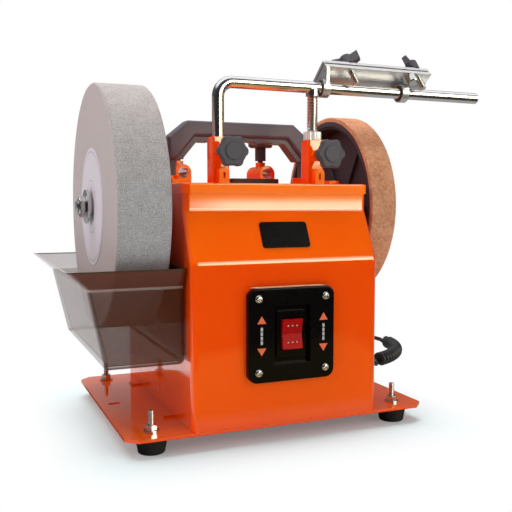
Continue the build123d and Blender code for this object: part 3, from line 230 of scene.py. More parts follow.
def tint(red, green, blue):
    """A colour as a paint chart gives it, 0 to 255, turned to the linear light that shaders use."""
    scaled = [c / 255 for c in (red, green, blue)]
    return (*(c / 12.92 if c < 0.04045 else ((c + 0.055) / 1.055) ** 2.4 for c in scaled), 1)


print("wire ready")

# %% [markdown]
# ## Studio
# The white of the picture comes from the world's colour, not from more lamps: rays from the camera and
# through clear surfaces see white, and all other light from the world is a weak fill. Gloss paint and
# chrome need something to show, so glossy rays see a room of their own. It is white behind the machine,
# dark in front and pale overhead. A bright window in front, to the right, draws a line along every
# rounded crease and fades upwards, and an amber band below it gives the cap's lip its deeper tone.
# `aside`, `depth` and `height` are the parts of a ray's direction, and each mask is 1 where it shows.

# %% Studio world
world = bpy.data.worlds.new("studio")
scene.world = world
world.use_nodes = True
world.node_tree.nodes.clear()
air = Wire(world.node_tree)
by_camera = air.node("ShaderNodeLightPath", out="Is Camera Ray")
by_gloss = air.node("ShaderNodeLightPath", out="Is Glossy Ray")
by_glass = air.node("ShaderNodeLightPath", out="Is Transmission Ray")
towards = air.node("ShaderNodeTexCoord", out="Generated")
aside = component(towards, "X")
depth = component(towards, "Y")
height = component(towards, "Z")
behind = clamp(depth * 3) * clamp((0.3 - height) * 6)
behind = behind * clamp((aside + 0.15) * 10) * clamp(1.2 - aside * 1.9)
room = clamp(0.02 + depth * 0.04 + clamp(height) * 0.04 + behind * 0.85)
low = clamp((0.1 - height) * 20)
sideways = clamp((aside - 0.2 - low * 0.07) * 12) * clamp((0.85 - aside) * 8)
lip = clamp((height + 0.003) * 120) * clamp((0.06 - height) * 60)
upwards = clamp((height + 0.03) * 80) * clamp((0.5 - height) * 2.6)
window = sideways * upwards * (depth < 0)
glint = clamp((aside - 0.15) * 12) * lip * (depth < 0)
ceiling = clamp((height - 0.6) * 8) * clamp((depth + 0.4) * 8)
white = air.node("ShaderNodeBackground", values={"Color": (1, 1, 1, 1), "Strength": 1})
fill = air.node("ShaderNodeBackground", values={"Color": (0.97, 0.98, 1, 1), "Strength": 0.31})
dark = air.node("ShaderNodeBackground", values={"Color": (0.02, 0.02, 0.02, 1), "Strength": 1})
pane = air.node("ShaderNodeBackground", values={"Color": (1, 0.93, 0.7, 1), "Strength": 9.5})
amber = air.node("ShaderNodeBackground", values={"Color": (1, 0.75, 0.1, 1), "Strength": 1.7})
lamp_glow = air.node("ShaderNodeBackground", values={"Color": (1, 1, 1, 1), "Strength": 1.2})
walls = air.node("ShaderNodeMixShader", values={0: room, 1: dark, 2: white})
walls = air.node("ShaderNodeMixShader", values={0: ceiling, 1: walls, 2: lamp_glow})
mirrored = air.node("ShaderNodeMixShader", values={0: window, 1: walls, 2: pane})
mirrored = air.node("ShaderNodeMixShader", values={0: glint, 1: mirrored, 2: amber})
glossy = air.node("ShaderNodeMixShader", values={0: by_gloss, 1: fill, 2: mirrored})
sky = air.node("ShaderNodeMixShader", values={0: clamp(by_camera + by_glass), 1: glossy, 2: white})
end = world.node_tree.nodes.new("ShaderNodeOutputWorld")
world.node_tree.links.new(sky.socket, end.inputs["Surface"])
print("world with", len(world.node_tree.nodes), "nodes")

# %% [markdown]
# ### Floor
# The machine stands on a white sweep. Near the machine its matt white keeps the shadow, and further out
# it fades to plain white for the camera. In the front panel the floor is a mirror image, so for glossy
# rays it glows in painted reflection tones of its own: warm in front, pale beside and behind, dark far
# off, and dark under the machine as painted shade.

# %% Floor
floor_mesh = bpy.data.meshes.new("floor")
reach = 6
level = -0.0003  # a hair below the feet
corners = [(x * reach, y * reach, level) for x, y in ((-1, -1), (1, -1), (1, 1), (-1, 1))]
floor_mesh.from_pydata(corners, [], [(0, 1, 2, 3)])
floor = bpy.data.objects.new("floor", floor_mesh)
scene.collection.objects.link(floor)
sweep = bpy.data.materials.new("white_sweep")
sweep.use_nodes = True
sweep.node_tree.nodes.clear()
ground = Wire(sweep.node_tree)
by_camera = ground.node("ShaderNodeLightPath", out="Is Camera Ray")
by_glass = ground.node("ShaderNodeLightPath", out="Is Transmission Ray")
by_gloss = ground.node("ShaderNodeLightPath", out="Is Glossy Ray")
place = ground.node("ShaderNodeTexCoord", out="Object")
aside = component(place, "X")
in_front = component(place, "Y")
half_width = 0.15
half_depth = 0.13
past_side = ground.math("MAXIMUM", abs(aside) - half_width, 0)
past_edge = ground.math("MAXIMUM", abs(in_front + 0.005) - half_depth, 0)
away = (past_side * past_side + past_edge * past_edge) ** 0.5
far = clamp((away - 0.005) / 0.07)
matt = ground.node("ShaderNodeBsdfDiffuse", values={"Color": (0.78, 0.91, 0.92, 1)})
glow = ground.node("ShaderNodeEmission", values={"Color": (1, 1, 1, 1), "Strength": 1})
# glows seen only by glossy rays: painted reflection tones of the floor
warm = ground.node("ShaderNodeEmission", values={"Color": (1, 0.74, 0.18, 1), "Strength": 0.5})
pale = ground.node("ShaderNodeEmission", values={"Color": (0.96, 0.94, 0.94, 1), "Strength": 0.85})
dusk = ground.node("ShaderNodeEmission", values={"Color": (0.03, 0.03, 0.03, 1), "Strength": 1})
white_share = clamp(by_camera + by_glass) * (0.15 + far * 0.85)
paper = ground.node("ShaderNodeMixShader", values={0: white_share, 1: matt, 2: glow})
# painted shade in the floor's reflections: dark close to the machine and far out
lit = clamp((away - 0.02) / 0.06) * clamp((in_front + 0.55 + aside * 0.4) / 0.07)
rightward = clamp((aside - 0.16) / 0.06) * clamp((in_front + 0.25) / 0.1)
far_right = clamp((aside - 0.28) / 0.08) * clamp((-0.2 - in_front) / 0.05)
lit = lit * (1 - rightward * 0.5) * (1 - far_right)
tone = ground.node("ShaderNodeMixShader", values={0: clamp((in_front + 0.25) / 0.1), 1: warm, 2: pale})
lit_edge = ground.node("ShaderNodeMixShader", values={0: lit, 1: dusk, 2: tone})
paper = ground.node("ShaderNodeMixShader", values={0: by_gloss, 1: paper, 2: lit_edge})
end = sweep.node_tree.nodes.new("ShaderNodeOutputMaterial")
sweep.node_tree.links.new(paper.socket, end.inputs["Surface"])
floor_mesh.materials.append(sweep)
floor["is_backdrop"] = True
print("floor", 2 * reach, "m wide")

# %% [markdown]
# ### Lamps
# Three flat lamps light the machine: a large one overhead, one on the left and one in front, to the
# right. A lamp that shows in bare metal burns it out to white, so the overhead and the left lamp are
# hidden from glossy rays, which see the room of the world instead.


# %% Lamps
def softbox(name, place, aim, width, height, power):
    """A flat lamp at a place, turned to an aim."""
    lamp = bpy.data.lights.new(name, "AREA")
    lamp.shape = "RECTANGLE"
    lamp.size = width
    lamp.size_y = height
    lamp.energy = power
    stand = bpy.data.objects.new(name, lamp)
    stand.location = place
    stand.rotation_euler = (Vector(aim) - Vector(place)).to_track_quat("-Z", "Y").to_euler()
    scene.collection.objects.link(stand)
    return stand


overhead_lamp = softbox("overhead_lamp", (-0.1, 0.25, 1.5), (0, 0, 0.1), width=1.5, height=1.5, power=30)
left_lamp = softbox("left_lamp", (-1.5, -0.5, 0.9), (0, 0, 0.2), width=1.0, height=1.0, power=8.6)
for lamp in (overhead_lamp, left_lamp):
    lamp.visible_glossy = False
right_lamp = softbox("right_lamp", (1.1, -1.7, 1.0), (0, 0, 0.2), width=1.2, height=0.9, power=10.3)
for lamp in (overhead_lamp, left_lamp, right_lamp):
    print(lamp.name, round(lamp.data.energy, 1), "W")

# %% [markdown]
# ## Finishes
# Each finish starts from the same principled shader. Plain numbers go straight onto its sockets, and a
# short recipe returns what varies over the surface: colour, roughness and a bump. Patterns read Object
# coordinates, so they stay in place on a piece that turns. Sheet edges are never razor sharp, so a
# bevel softens the normal there without touching the solids.


# %% Finish maker
def finish(name, recipe, **plain):
    """A material from plain socket values and a recipe for the rest."""
    material = bpy.data.materials.new(name)
    material.use_nodes = True
    shader = material.node_tree.nodes["Principled BSDF"]
    for socket, value in plain.items():
        shader.inputs[socket.replace("_", " ")].default_value = value
    for socket, wire in recipe(Wire(material.node_tree)).items():
        material.node_tree.links.new(wire.socket, shader.inputs[socket])
    return material


def grain(sheet, size, detail=2, stretch=(1, 1, 1), rough=0.5):
    """Noise whose lumps are about this many millimetres, drawn out along an axis where asked."""
    place = sheet.node("ShaderNodeTexCoord", out="Object")
    place = sheet.node("ShaderNodeMapping", values={"Vector": place, "Scale": stretch})
    values = {"Vector": place, "Scale": 1 / (size * MM), "Detail": detail, "Roughness": rough}
    return sheet.node("ShaderNodeTexNoise", values=values, out="Fac")


def relief(sheet, height, depth, edge=0.6, strength=1):
    """A bump of a height map, this many millimetres deep, on edges rounded by a bevel."""
    round_edge = sheet.node("ShaderNodeBevel", {"samples": 4}, {"Radius": edge * MM}, "Normal")
    values = {"Height": height, "Distance": depth * MM, "Strength": strength, "Normal": round_edge}
    return sheet.node("ShaderNodeBump", values=values, out="Normal")


def dress(material, *names):
    """Give solids of the frame a finish."""
    for name in names:
        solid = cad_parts[name]
        solid.data.materials.clear()
        solid.data.materials.append(material)


print("finish maker ready")

# %% [markdown]
# ### Orange paint
# The casing is powder coated: a thick, glossy, even orange with the faint orange peel that the coat
# leaves when it flows out. Fine noise as bump gives the peel, wide noise a slight change of tone. Faces
# that look upwards get a yellower base colour than the upright ones: painted warm light from above.


# %% Orange paint
def orange_recipe(sheet):
    cloud = grain(sheet, 60, 3)
    peel = grain(sheet, 2.2, 1)
    facing = sheet.node("ShaderNodeNewGeometry", out="Normal")
    # painted light: faces that look upwards get a yellower colour, as in warm light from above
    upward = clamp(component(facing, "Z") * 2)
    return {
        "Base Color": blend(cloud * 0.4 + upward * 0.6, tint(255, 68, 0), tint(255, 104, 0)),
        "Roughness": 0.05 + cloud * 0.05,
        "Normal": relief(sheet, peel, 0.007, 1.0),
    }


coat = {"Coat_Weight": 1, "Coat_Roughness": 0.03, "Coat_IOR": 1.6}
orange_paint = finish("orange_paint", orange_recipe, Specular_Tint=(1, 0.7, 0.35, 1), **coat)
painted = ("base_plate", "casing", "casing_tabs", "top_cap")
painted = (*painted, "front_sleeves", "rear_sleeves", "handle_brackets")
dress(orange_paint, *painted)
print(orange_paint.name, "on", len(painted), "solids")

# %% [markdown]
# ### Stone, label and leather
# The water stone is fused grit: grey with paler and darker grains of about half a millimetre. Its label
# is plain paper with two printed rings. The honing wheel wears a band of tan leather, flesh side out,
# so it has short fibres that run round the wheel.


# %% Stone, label and leather
spindle_height = 226.5
stone_middle = -137.5
stone_face = 24.6  # from the stone's middle to where its ground sides begin
label_rings = (56, 27)


def stone_recipe(sheet):
    speck = grain(sheet, 0.7, 2, rough=0.7)
    patch = grain(sheet, 9, 3)
    wide = grain(sheet, 60, 2)
    shade = clamp((speck - 0.5) * 2.2 + 0.5 + (patch - 0.5) * 0.25)
    grey = blend(shade, tint(102, 94, 92), tint(204, 196, 193))
    place = sheet.node("ShaderNodeTexCoord", out="Object")
    along = component(place, "X")
    ground_side = abs(along - stone_middle * MM) > stone_face * MM
    colour = blend(ground_side * 0.7, grey, tint(190, 166, 165))
    return {
        "Base Color": blend(wide * 0.2, colour, tint(164, 160, 157)),
        "Roughness": 0.86 + speck * 0.12,
        "Normal": relief(sheet, speck, 0.25, 0.8, 0.8),
    }


def label_recipe(sheet):
    place = sheet.node("ShaderNodeTexCoord", out="Object")
    across = component(place, "Y")
    up = component(place, "Z") - spindle_height * MM
    radius = (across * across + up * up) ** 0.5
    outer = abs(radius - label_rings[0] * MM) < 0.5 * MM
    inner = abs(radius - label_rings[1] * MM) < 0.35 * MM
    fibre = grain(sheet, 1.2, 4, rough=0.7)
    paper_tone = blend(fibre, tint(200, 184, 190), tint(216, 202, 207))
    return {
        "Base Color": blend(clamp(outer + inner) * 0.55, paper_tone, tint(92, 84, 88)),
        "Roughness": 0.5 + fibre * 0.25,
        "Normal": relief(sheet, fibre, 0.02, 0.2),
    }


def leather_recipe(sheet):
    fibre = grain(sheet, 1.4, 4, (2.2, 1, 1), 0.65)
    patch = grain(sheet, 16, 3)
    pore = grain(sheet, 0.5, 2)
    spot = grain(sheet, 3.2, 3, rough=0.7)
    shade = clamp((fibre - 0.5) * 1.2 + (patch - 0.5) * 0.8 + (spot - 0.5) * 1.5 + 0.5)
    return {
        "Base Color": blend(shade, tint(164, 98, 62), tint(228, 168, 128)),
        "Roughness": 0.68 + fibre * 0.25,
        "Normal": relief(sheet, fibre + pore * 0.5, 0.3, 0.6, 0.7),
    }


stone_grit = finish("stone_grey", stone_recipe, Specular_IOR_Level=0.25)
label_paper = finish("label_paper", label_recipe)
leather_tan = finish("leather_tan", leather_recipe, Specular_IOR_Level=0.3)
dress(stone_grit, "grindstone")
dress(label_paper, "stone_label")
dress(leather_tan, "leather_band")
print("stone, label and leather dressed")

# %% [markdown]
# ### Plastics and rubber
# Moulded black plastic is never quite black: the handle and knobs have a fine spark-eroded grain that
# greys their highlights, the switch plate is polished, the rubber feet are matt and a little dusty. One
# recipe with a few sizes serves them all.


# %% Plastics and rubber
def moulded(deep, pale, size, depth, rough, edge=0.8):
    """A recipe for a moulded surface: two tones, grain size and depth in mm, and roughness."""

    def recipe(sheet):
        fine = grain(sheet, size, 2)
        wide = grain(sheet, 24, 3)
        return {
            "Base Color": blend(clamp(wide * 0.7 + fine * 0.3), deep, pale),
            "Roughness": rough + (fine - 0.5) * 0.2 + (wide - 0.5) * 0.12,
            "Normal": relief(sheet, fine, depth, edge, 0.6),
        }

    return recipe


handle_plastic = finish("handle_plastic", moulded(tint(76, 68, 78), tint(97, 90, 100), 0.6, 0.06, 0.5))
knob_grain = moulded(tint(60, 55, 60), tint(82, 76, 82), 0.7, 0.06, 0.52, 1.0)
knob_black = finish("knob_black", knob_grain, Specular_IOR_Level=0.3)
switch_grain = moulded(tint(8, 6, 6), tint(15, 11, 11), 1.6, 0.006, 0.12)
switch_gloss = finish("switch_plastic", switch_grain, Specular_IOR_Level=0.1)
wheel_grain = moulded(tint(62, 50, 56), tint(80, 66, 72), 1.1, 0.02, 0.4)
wheel_plastic = finish("wheel_plastic", wheel_grain, Specular_IOR_Level=0.3)
foot_rubber = finish("foot_rubber", moulded(tint(12, 11, 12), tint(26, 25, 26), 0.8, 0.06, 0.8, 1.2))
pad_rubber = finish("pad_rubber", moulded(tint(38, 26, 24), tint(58, 44, 42), 0.9, 0.08, 0.7))
ring_rubber = finish("ring_rubber", moulded(tint(30, 29, 29), tint(46, 44, 43), 0.8, 0.08, 0.75))
liner_plastic = finish("liner_plastic", moulded(tint(48, 42, 42), tint(74, 66, 66), 0.8, 0.03, 0.4))
capacitor_case = finish("capacitor_plastic", moulded(tint(60, 60, 64), tint(84, 84, 88), 1, 0.03, 0.4))
cord_black = finish("cord_black", moulded(tint(16, 15, 16), tint(30, 28, 30), 0.9, 0.03, 0.42))
badge_grain = moulded(tint(7, 5, 5), tint(13, 10, 10), 2.0, 0.002, 0.3, 0.3)
badge_black = finish("badge_black", badge_grain, Specular_IOR_Level=0.15)
dress(handle_plastic, "carry_handle")
dress(knob_black, "front_knob_left", "front_knob_right", "rear_knob_left", "rear_knob_right")
dress(knob_black, "wing_knob_left", "wing_knob_right")
dress(switch_gloss, "switch_plate", "switch_housing")
dress(wheel_plastic, "honing_wheel", "honing_rim")
dress(foot_rubber, "rubber_feet")
dress(pad_rubber, "rest_pad")
dress(ring_rubber, "drive_ring", "drive_roller")
dress(liner_plastic, "jig_liners")
dress(capacitor_case, "capacitor")
dress(cord_black, "cord_gland", "cord_plug")
dress(badge_black, "badge_plate")
print("eleven moulded finishes")

# %% [markdown]
# ### Metals
# Chrome on the arm, bright zinc on fasteners, dull zinc on the jig's plates, a paler zinc on the height
# nut, ground steel on the shafts, and bronze, core steel and cast alloy inside. They differ in tone, in
# roughness and in the direction of their fine scratches. The motor's can has a coat of grey paint.


# %% Metals
def metal(deep, pale, rough, stretch=(1, 1, 1), size=1.5, depth=0.01, edge=0.35):
    """A recipe for bare or plated metal with scratches drawn along an axis."""

    def recipe(sheet):
        scratch = grain(sheet, size, 4, stretch, 0.7)
        wide = grain(sheet, 14, 3)
        return {
            "Base Color": blend(clamp(wide * 0.6 + scratch * 0.4), deep, pale),
            "Roughness": rough + (scratch - 0.5) * 0.16 + (wide - 0.5) * 0.1,
            "Normal": relief(sheet, scratch, depth, edge, 0.5),
        }

    return recipe


def bare_metal(name, *tones_and_sizes, **more):
    """A finish that is metal through and through."""
    return finish(name, metal(*tones_and_sizes, **more), Metallic=1)


chrome_bar = bare_metal("chrome_bar", tint(214, 212, 214), tint(242, 241, 242), 0.22, depth=0.003)
zinc_steel = bare_metal("zinc_steel", tint(190, 190, 194), tint(228, 227, 226), 0.24)
rolled_zinc = metal(tint(198, 197, 197), tint(224, 223, 223), 0.34, (0.12, 1, 1), 1, 0.004)
zinc_plate = finish("zinc_plate", rolled_zinc, Metallic=0.8)
shaft_steel = bare_metal("shaft_steel", tint(168, 168, 170), tint(204, 204, 204), 0.3, (4, 1, 1))
bush_bronze = bare_metal("bush_bronze", tint(150, 104, 56), tint(196, 146, 88), 0.35)
core_steel = bare_metal("core_steel", tint(96, 96, 100), tint(140, 140, 142), 0.45, (6, 1, 1))
cast_alloy = bare_metal("cast_alloy", tint(150, 150, 152), tint(186, 186, 186), 0.55, depth=0.05)
motor_grey = finish("motor_grey", moulded(tint(70, 74, 78), tint(96, 100, 104), 1.4, 0.04, 0.5))
pale_zinc = finish("pale_zinc", metal(tint(236, 230, 226), tint(250, 246, 243), 0.36), Metallic=0.4)
dress(pale_zinc, "micro_nut")
dress(zinc_steel, "foot_washers", "stone_flanges", "spindle_washers", "jig_thumb_nut", "trough_hangers")
dress(zinc_plate, "jig_base", "jig_ears", "jig_clamp")
dress(shaft_steel, "main_shaft", "motor_shaft")
dress(bush_bronze, "bearing_bushes")
dress(core_steel, "stator_core")
dress(cast_alloy, "bearing_housings", "motor_end_covers")
dress(motor_grey, "motor_can", "motor_cradle")
print("eight metals and the motor's paint")

# %% [markdown]
# ### Smoked trough and rocker
# The trough is brown clear plastic. Real refraction is slow and noisy in thin walls, so its depth comes
# from Alpha: each wall lets part of the light through and tints the rest, and more of it at the edges,
# where the eye looks along the sheet. Masks from the normal and from the place find those edges: upright
# corners, the turned bottom edges and the rim are dark. The inner wall next to the casing is darkened
# with painted shade, the ledge below the flare carries a pale painted highlight, the front flare is a deep
# red-brown of painted shade with a painted orange reflection, and the back one is clearer. The rocker is
# deep red plastic with some gloss.


# %% Smoked trough and rocker
trough_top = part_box("water_trough")[1][2]
ledge_height = 153 * MM
bottom_turn = 92 * MM
inner_wall = -104 * MM


def smoked_recipe(sheet):
    wide = grain(sheet, 30, 3)
    scuff = grain(sheet, 2.5, 4, (1, 1, 0.3), 0.7)
    facing = sheet.node("ShaderNodeNewGeometry", out="Normal")
    to_side = abs(component(facing, "X"))
    to_front = abs(component(facing, "Y"))
    to_floor = abs(component(facing, "Z"))
    place = sheet.node("ShaderNodeTexCoord", out="Object")
    across = component(place, "X")
    backward = component(place, "Y")
    up = component(place, "Z")
    at_back = clamp(backward / (20 * MM))
    front = to_front * (1 - at_back)
    flare = clamp((up - ledge_height) / MM)
    upright = clamp((to_side * to_front - 0.4) * 12)
    slanted = to_floor * (1 - to_floor * to_floor) ** 0.5
    turned = clamp((slanted - 0.3) * 6) * clamp((bottom_turn - up) / MM)
    # painted shade: the inner wall next to the casing is darkened, and this joins the edge mask below
    inner = clamp((across - inner_wall) / (3 * MM))
    rim = clamp((up - trough_top + 1.4 * MM) / (0.4 * MM))
    edge = clamp(upright + turned + inner * 0.7 + rim)
    # painted highlight: a pale line along the crease of the ledge below the flare
    ledge = clamp(1.6 - abs(up - ledge_height) / (1.1 * MM))
    brown = blend(wide, tint(88, 44, 27), tint(102, 54, 34))
    # front flare: painted shade with a painted orange reflection, also made more opaque in the alpha below
    painted_flare_reflection = blend(flare * front, brown, tint(86, 24, 10))
    shaded = blend(edge * 0.85, painted_flare_reflection, tint(30, 16, 12))
    cover = 0.42 + wide * 0.06 + edge * 0.35 + front * (0.05 + flare * 0.36)
    return {
        "Base Color": blend(ledge * 0.5, shaded, tint(196, 172, 160)),
        "Roughness": 0.06 + clamp((scuff - 0.55) * 2) * 0.3,
        "Alpha": cover - flare * at_back * 0.15 - to_side * 0.04,
        "Normal": relief(sheet, scuff, 0.01, 0.8, 0.4),
    }


def rocker_recipe(sheet):
    wide = grain(sheet, 8, 3)
    fine = grain(sheet, 0.8, 2)
    return {
        "Base Color": blend(wide, tint(134, 4, 4), tint(180, 14, 12)),
        "Roughness": 0.2 + fine * 0.12,
        "Normal": relief(sheet, fine, 0.01, 0.5, 0.4),
    }


smoked_clear = finish("smoked_clear", smoked_recipe, Coat_Weight=0.3, Coat_Roughness=0.04)
rocker_red = finish("rocker_red", rocker_recipe, Specular_IOR_Level=0.06)
dress(smoked_clear, "water_trough")
dress(rocker_red, "rocker")
print("trough and rocker dressed")

# %% [markdown]
# ## Growing fasteners
# Threads, nuts and screw heads repeat all over a machine, so each is a Geometry Nodes tree with named
# sizes. All of them bend one flat grid into a closed form: the grid's width goes once round an axis and
# its length goes along it, with both ends drawn in to a point on the axis.


# %% Tree tools
def start_tree(name, **sizes):
    """A tree with a geometry input and named sizes; returns the tree and a wire for each input."""
    tree = bpy.data.node_groups.new(name, "GeometryNodeTree")
    kinds = {"Geometry": "NodeSocketGeometry", **sizes, "Finish": "NodeSocketMaterial"}
    for label, kind in kinds.items():
        tree.interface.new_socket(label, in_out="INPUT", socket_type=kind)
    tree.interface.new_socket("Geometry", in_out="OUTPUT", socket_type="NodeSocketGeometry")
    entry = tree.nodes.new("NodeGroupInput")
    return tree, {label: Wire(tree, entry.outputs[label]) for label in kinds}


def end_tree(tree, given, shape):
    """Make instances real, set the finish and link the result."""
    real = shape.node("GeometryNodeRealizeInstances", values={"Geometry": shape})
    done = shape.node("GeometryNodeSetMaterial", values={"Geometry": real, "Material": given["Finish"]})
    tree.links.new(done.socket, tree.nodes.new("NodeGroupOutput").inputs[0])


def rolled_grid(start, around, rows):
    """A flat grid, its turn from 0 to 1 and its row number, ready to be bent round an axis."""
    values = {"Size X": 1, "Size Y": 1, "Vertices X": around + 1, "Vertices Y": rows}
    grid = start.node("GeometryNodeMeshGrid", values=values, out="Mesh")
    place = start.node("GeometryNodeInputPosition")
    turn = component(place, "X") + 0.5
    row = (component(place, "Y") + 0.5) * (rows - 1)
    return grid, turn, row


def bend(grid, turn, radius, height):
    """Put every grid point at its angle, radius and height, and close the seam and both ends."""
    angle = turn * (2 * math.pi)
    across = radius * angle.math("COSINE", angle)
    deep = radius * angle.math("SINE", angle)
    place = grid.node("ShaderNodeCombineXYZ", values={"X": across, "Y": deep, "Z": height})
    bent = grid.node("GeometryNodeSetPosition", values={"Geometry": grid, "Position": place})
    return grid.node("GeometryNodeMergeByDistance", values={"Geometry": bent, "Distance": 1e-6})


def put_on_points(given, shape):
    """One copy of a shape on every point of the carrier."""
    values = {"Points": given["Geometry"], "Instance": shape, "Rotation": given["Turn"]}
    return shape.node("GeometryNodeInstanceOnPoints", values=values)


def grow(name, tree, points, sizes, edges=(), smooth=30):
    """Run a tree on points given in millimetres and keep the result as a plain mesh."""
    places = bpy.data.meshes.new(name)
    places.from_pydata([Vector(point) * MM for point in points], edges, [])
    carrier = bpy.data.objects.new(name, places)
    growth = carrier.modifiers.new("growth", "NODES")
    growth.node_group = tree
    for socket in tree.interface.items_tree:
        if socket.in_out == "INPUT" and socket.name in sizes:
            growth[socket.identifier] = sizes[socket.name]
    scene.collection.objects.link(carrier)
    grown = carrier.evaluated_get(bpy.context.evaluated_depsgraph_get())
    mesh = bpy.data.meshes.new_from_object(grown)
    carrier.modifiers.clear()
    carrier.data = mesh
    mesh.polygons.foreach_set("use_smooth", [True] * len(mesh.polygons))
    mesh.set_sharp_from_angle(angle=math.radians(smooth))
    print(name, len(mesh.polygons), "faces")
    return carrier


LENGTH = "NodeSocketFloat"
TURN = "NodeSocketRotation"
print("tree tools ready")

# %% [markdown]
# ### Threads
# A thread is a groove that climbs one pitch in a turn. On the bent grid that is one line of maths: the
# radius follows a zigzag of height over pitch, less the turn. The ends are chamfered, as they are cut.


# %% Thread tree
def thread_tree(rows, around=28):
    tree, given = start_tree("thread", Length=LENGTH, Radius=LENGTH, Pitch=LENGTH, Depth=LENGTH, Turn=TURN)
    grid, turn, row = rolled_grid(given["Length"], around, rows)
    height = clamp((row - 1) / (rows - 3)) * given["Length"]
    zigzag = abs(turn.math("FRACT", height / given["Pitch"] - turn + 50) * 2 - 1)
    groove = given["Radius"] - given["Depth"] * zigzag
    to_end = turn.math("MINIMUM", height, given["Length"] - height)
    chamfered = turn.math("MINIMUM", groove, given["Radius"] * 0.84 + to_end)
    inside = (row > 0.5) * (row < rows - 1.5)
    end_tree(tree, given, put_on_points(given, bend(grid, turn, chamfered * inside, height)))
    return tree


def thread(name, points, length, radius, pitch, finish_used, turn=(0, 0, 0)):
    """Threaded rods that start at points and run along a turned Z axis, sizes in millimetres."""
    rows_in_turn = 6
    tree = thread_tree(int(length / pitch * rows_in_turn) + 4)
    sizes = {
        "Length": length * MM, "Radius": radius * MM, "Pitch": pitch * MM, "Depth": pitch * 0.55 * MM,
        "Turn": turn, "Finish": finish_used,
    }
    return grow(name, tree, points, sizes, smooth=20)


stud_places = [(x, y) for x in (-131, 131) for y in (-112, 100)]
stud_foot = 6
stud_points = [(x, y, stud_foot) for x, y in stud_places]
foot_threads = thread("foot_threads", stud_points, length=33, radius=3, pitch=1, finish_used=zinc_steel)
jig_lean = math.radians(39)
clamp_places = {"left": (95, -94.58, 353.45), "right": (178, -94.58, 353.45)}
clamp_sizes = {"length": 26.8, "radius": 3, "pitch": 1, "finish_used": zinc_steel, "turn": (-jig_lean, 0, 0)}
clamp_threads = {}
for end, foot in clamp_places.items():
    clamp_threads[end] = thread(f"clamp_thread_{end}", [foot], **clamp_sizes)
    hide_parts(f"clamp_screw_{end}")
    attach(clamp_threads[end], f"wing_{end}")
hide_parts("foot_studs")
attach(foot_threads, "machine")

# %% [markdown]
# ### Nuts
# A hexagon in polar form is its half width over the cosine of the angle from the nearest flat. A cone
# from each end face cuts the six corners, which gives the curved chamfer lines of a real nut.


# %% Nut tree
def nut_tree(around=48, rows=12):
    tree, given = start_tree("nut", Height=LENGTH, Width=LENGTH, Turn=TURN)
    grid, turn, row = rolled_grid(given["Height"], around, rows)
    height = clamp((row - 1) / (rows - 3)) * given["Height"]
    from_flat = (turn.math("FRACT", turn * 6) - 0.5) * math.radians(60)
    hexagon = given["Width"] * 0.5 / turn.math("COSINE", from_flat)
    to_end = turn.math("MINIMUM", height, given["Height"] - height)
    cone = given["Width"] * 0.485 + to_end * 1.8
    inside = (row > 0.5) * (row < rows - 1.5)
    radius = turn.math("MINIMUM", hexagon, cone) * inside
    end_tree(tree, given, put_on_points(given, bend(grid, turn, radius, height)))
    return tree


hex_nut = nut_tree()
foot_sizes = {"Height": 5 * MM, "Width": 10 * MM, "Turn": (0, 0, 0.3), "Finish": zinc_steel}
foot_nut_level = 20.6
foot_nut_points = [(x, y, foot_nut_level) for x, y in stud_places]
foot_nuts = grow("foot_hex_nuts", hex_nut, foot_nut_points, foot_sizes)
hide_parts("foot_nuts")
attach(foot_nuts, "machine")
spindle_nuts = {"outer": (-176.3, 7), "lock": (-166.9, 4), "inner": (-108.5, 8.2), "wheel": (143, 7)}
for name, (along, height) in spindle_nuts.items():
    sizes = {"Height": height * MM, "Width": 19 * MM, "Turn": (0, math.pi / 2, 0), "Finish": zinc_steel}
    nut = grow(f"spindle_nut_{name}", hex_nut, [(along, 0, spindle_height)], sizes)
    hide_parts("spindle_nuts")
    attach(nut, "spindle")

# %% [markdown]
# ### Pan screws
# Four screws hold the switch plate. Their heads are low domes with a cross pressed in. The dome is the
# bent grid again, and the cross is pushed down where a point lies within either of two narrow bars.


# %% Pan screw tree
def pan_screw_tree(around=48, rows=26):
    tree, given = start_tree("pan_screw", Width=LENGTH, Height=LENGTH, Recess=LENGTH, Turn=TURN)
    grid, turn, row = rolled_grid(given["Width"], around, rows)
    share = clamp((row - 1) / (rows - 2))
    swing = share * (math.pi / 2)
    half = given["Width"] * 0.5
    radius = half * turn.math("COSINE", swing) ** 0.8 * (row > 0.5)
    dome = given["Height"] * turn.math("SINE", swing) ** 0.85
    angle = turn * (2 * math.pi)
    along = abs(radius * turn.math("COSINE", angle))
    across = abs(radius * turn.math("SINE", angle))
    wide = given["Width"] * 0.07
    long = given["Width"] * 0.27
    bars = (along < wide) * (across < long) + (across < wide) * (along < long)
    height = dome - given["Recess"] * clamp(bars) * (share > 0.3)
    end_tree(tree, given, put_on_points(given, bend(grid, turn, radius, height)))
    return tree


plate_face = -141
screw_sizes = {"Width": 8 * MM, "Height": 2.6 * MM, "Recess": 1.3 * MM}
screw_sizes.update({"Turn": (math.pi / 2, 0.5, 0), "Finish": zinc_steel})
screw_points = [(x, plate_face, z) for x in (-35, 35) for z in (71, 141)]
switch_heads = grow("switch_screw_heads", pan_screw_tree(), screw_points, screw_sizes)
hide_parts("switch_screws")
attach(switch_heads, "machine")

# %% [markdown]
# ## Support arm
# The arm is a 12 mm chromed bar, bent once, with a threaded leg welded under it. The bend follows a
# path, so a tree rounds the corner of a line and sweeps a circle along it. The leg is the thread tree,
# with a coarse pitch so that the thread still shows from a distance, and a smooth collar joins it to the
# bar. All three become one mesh, because on the machine they are one piece.


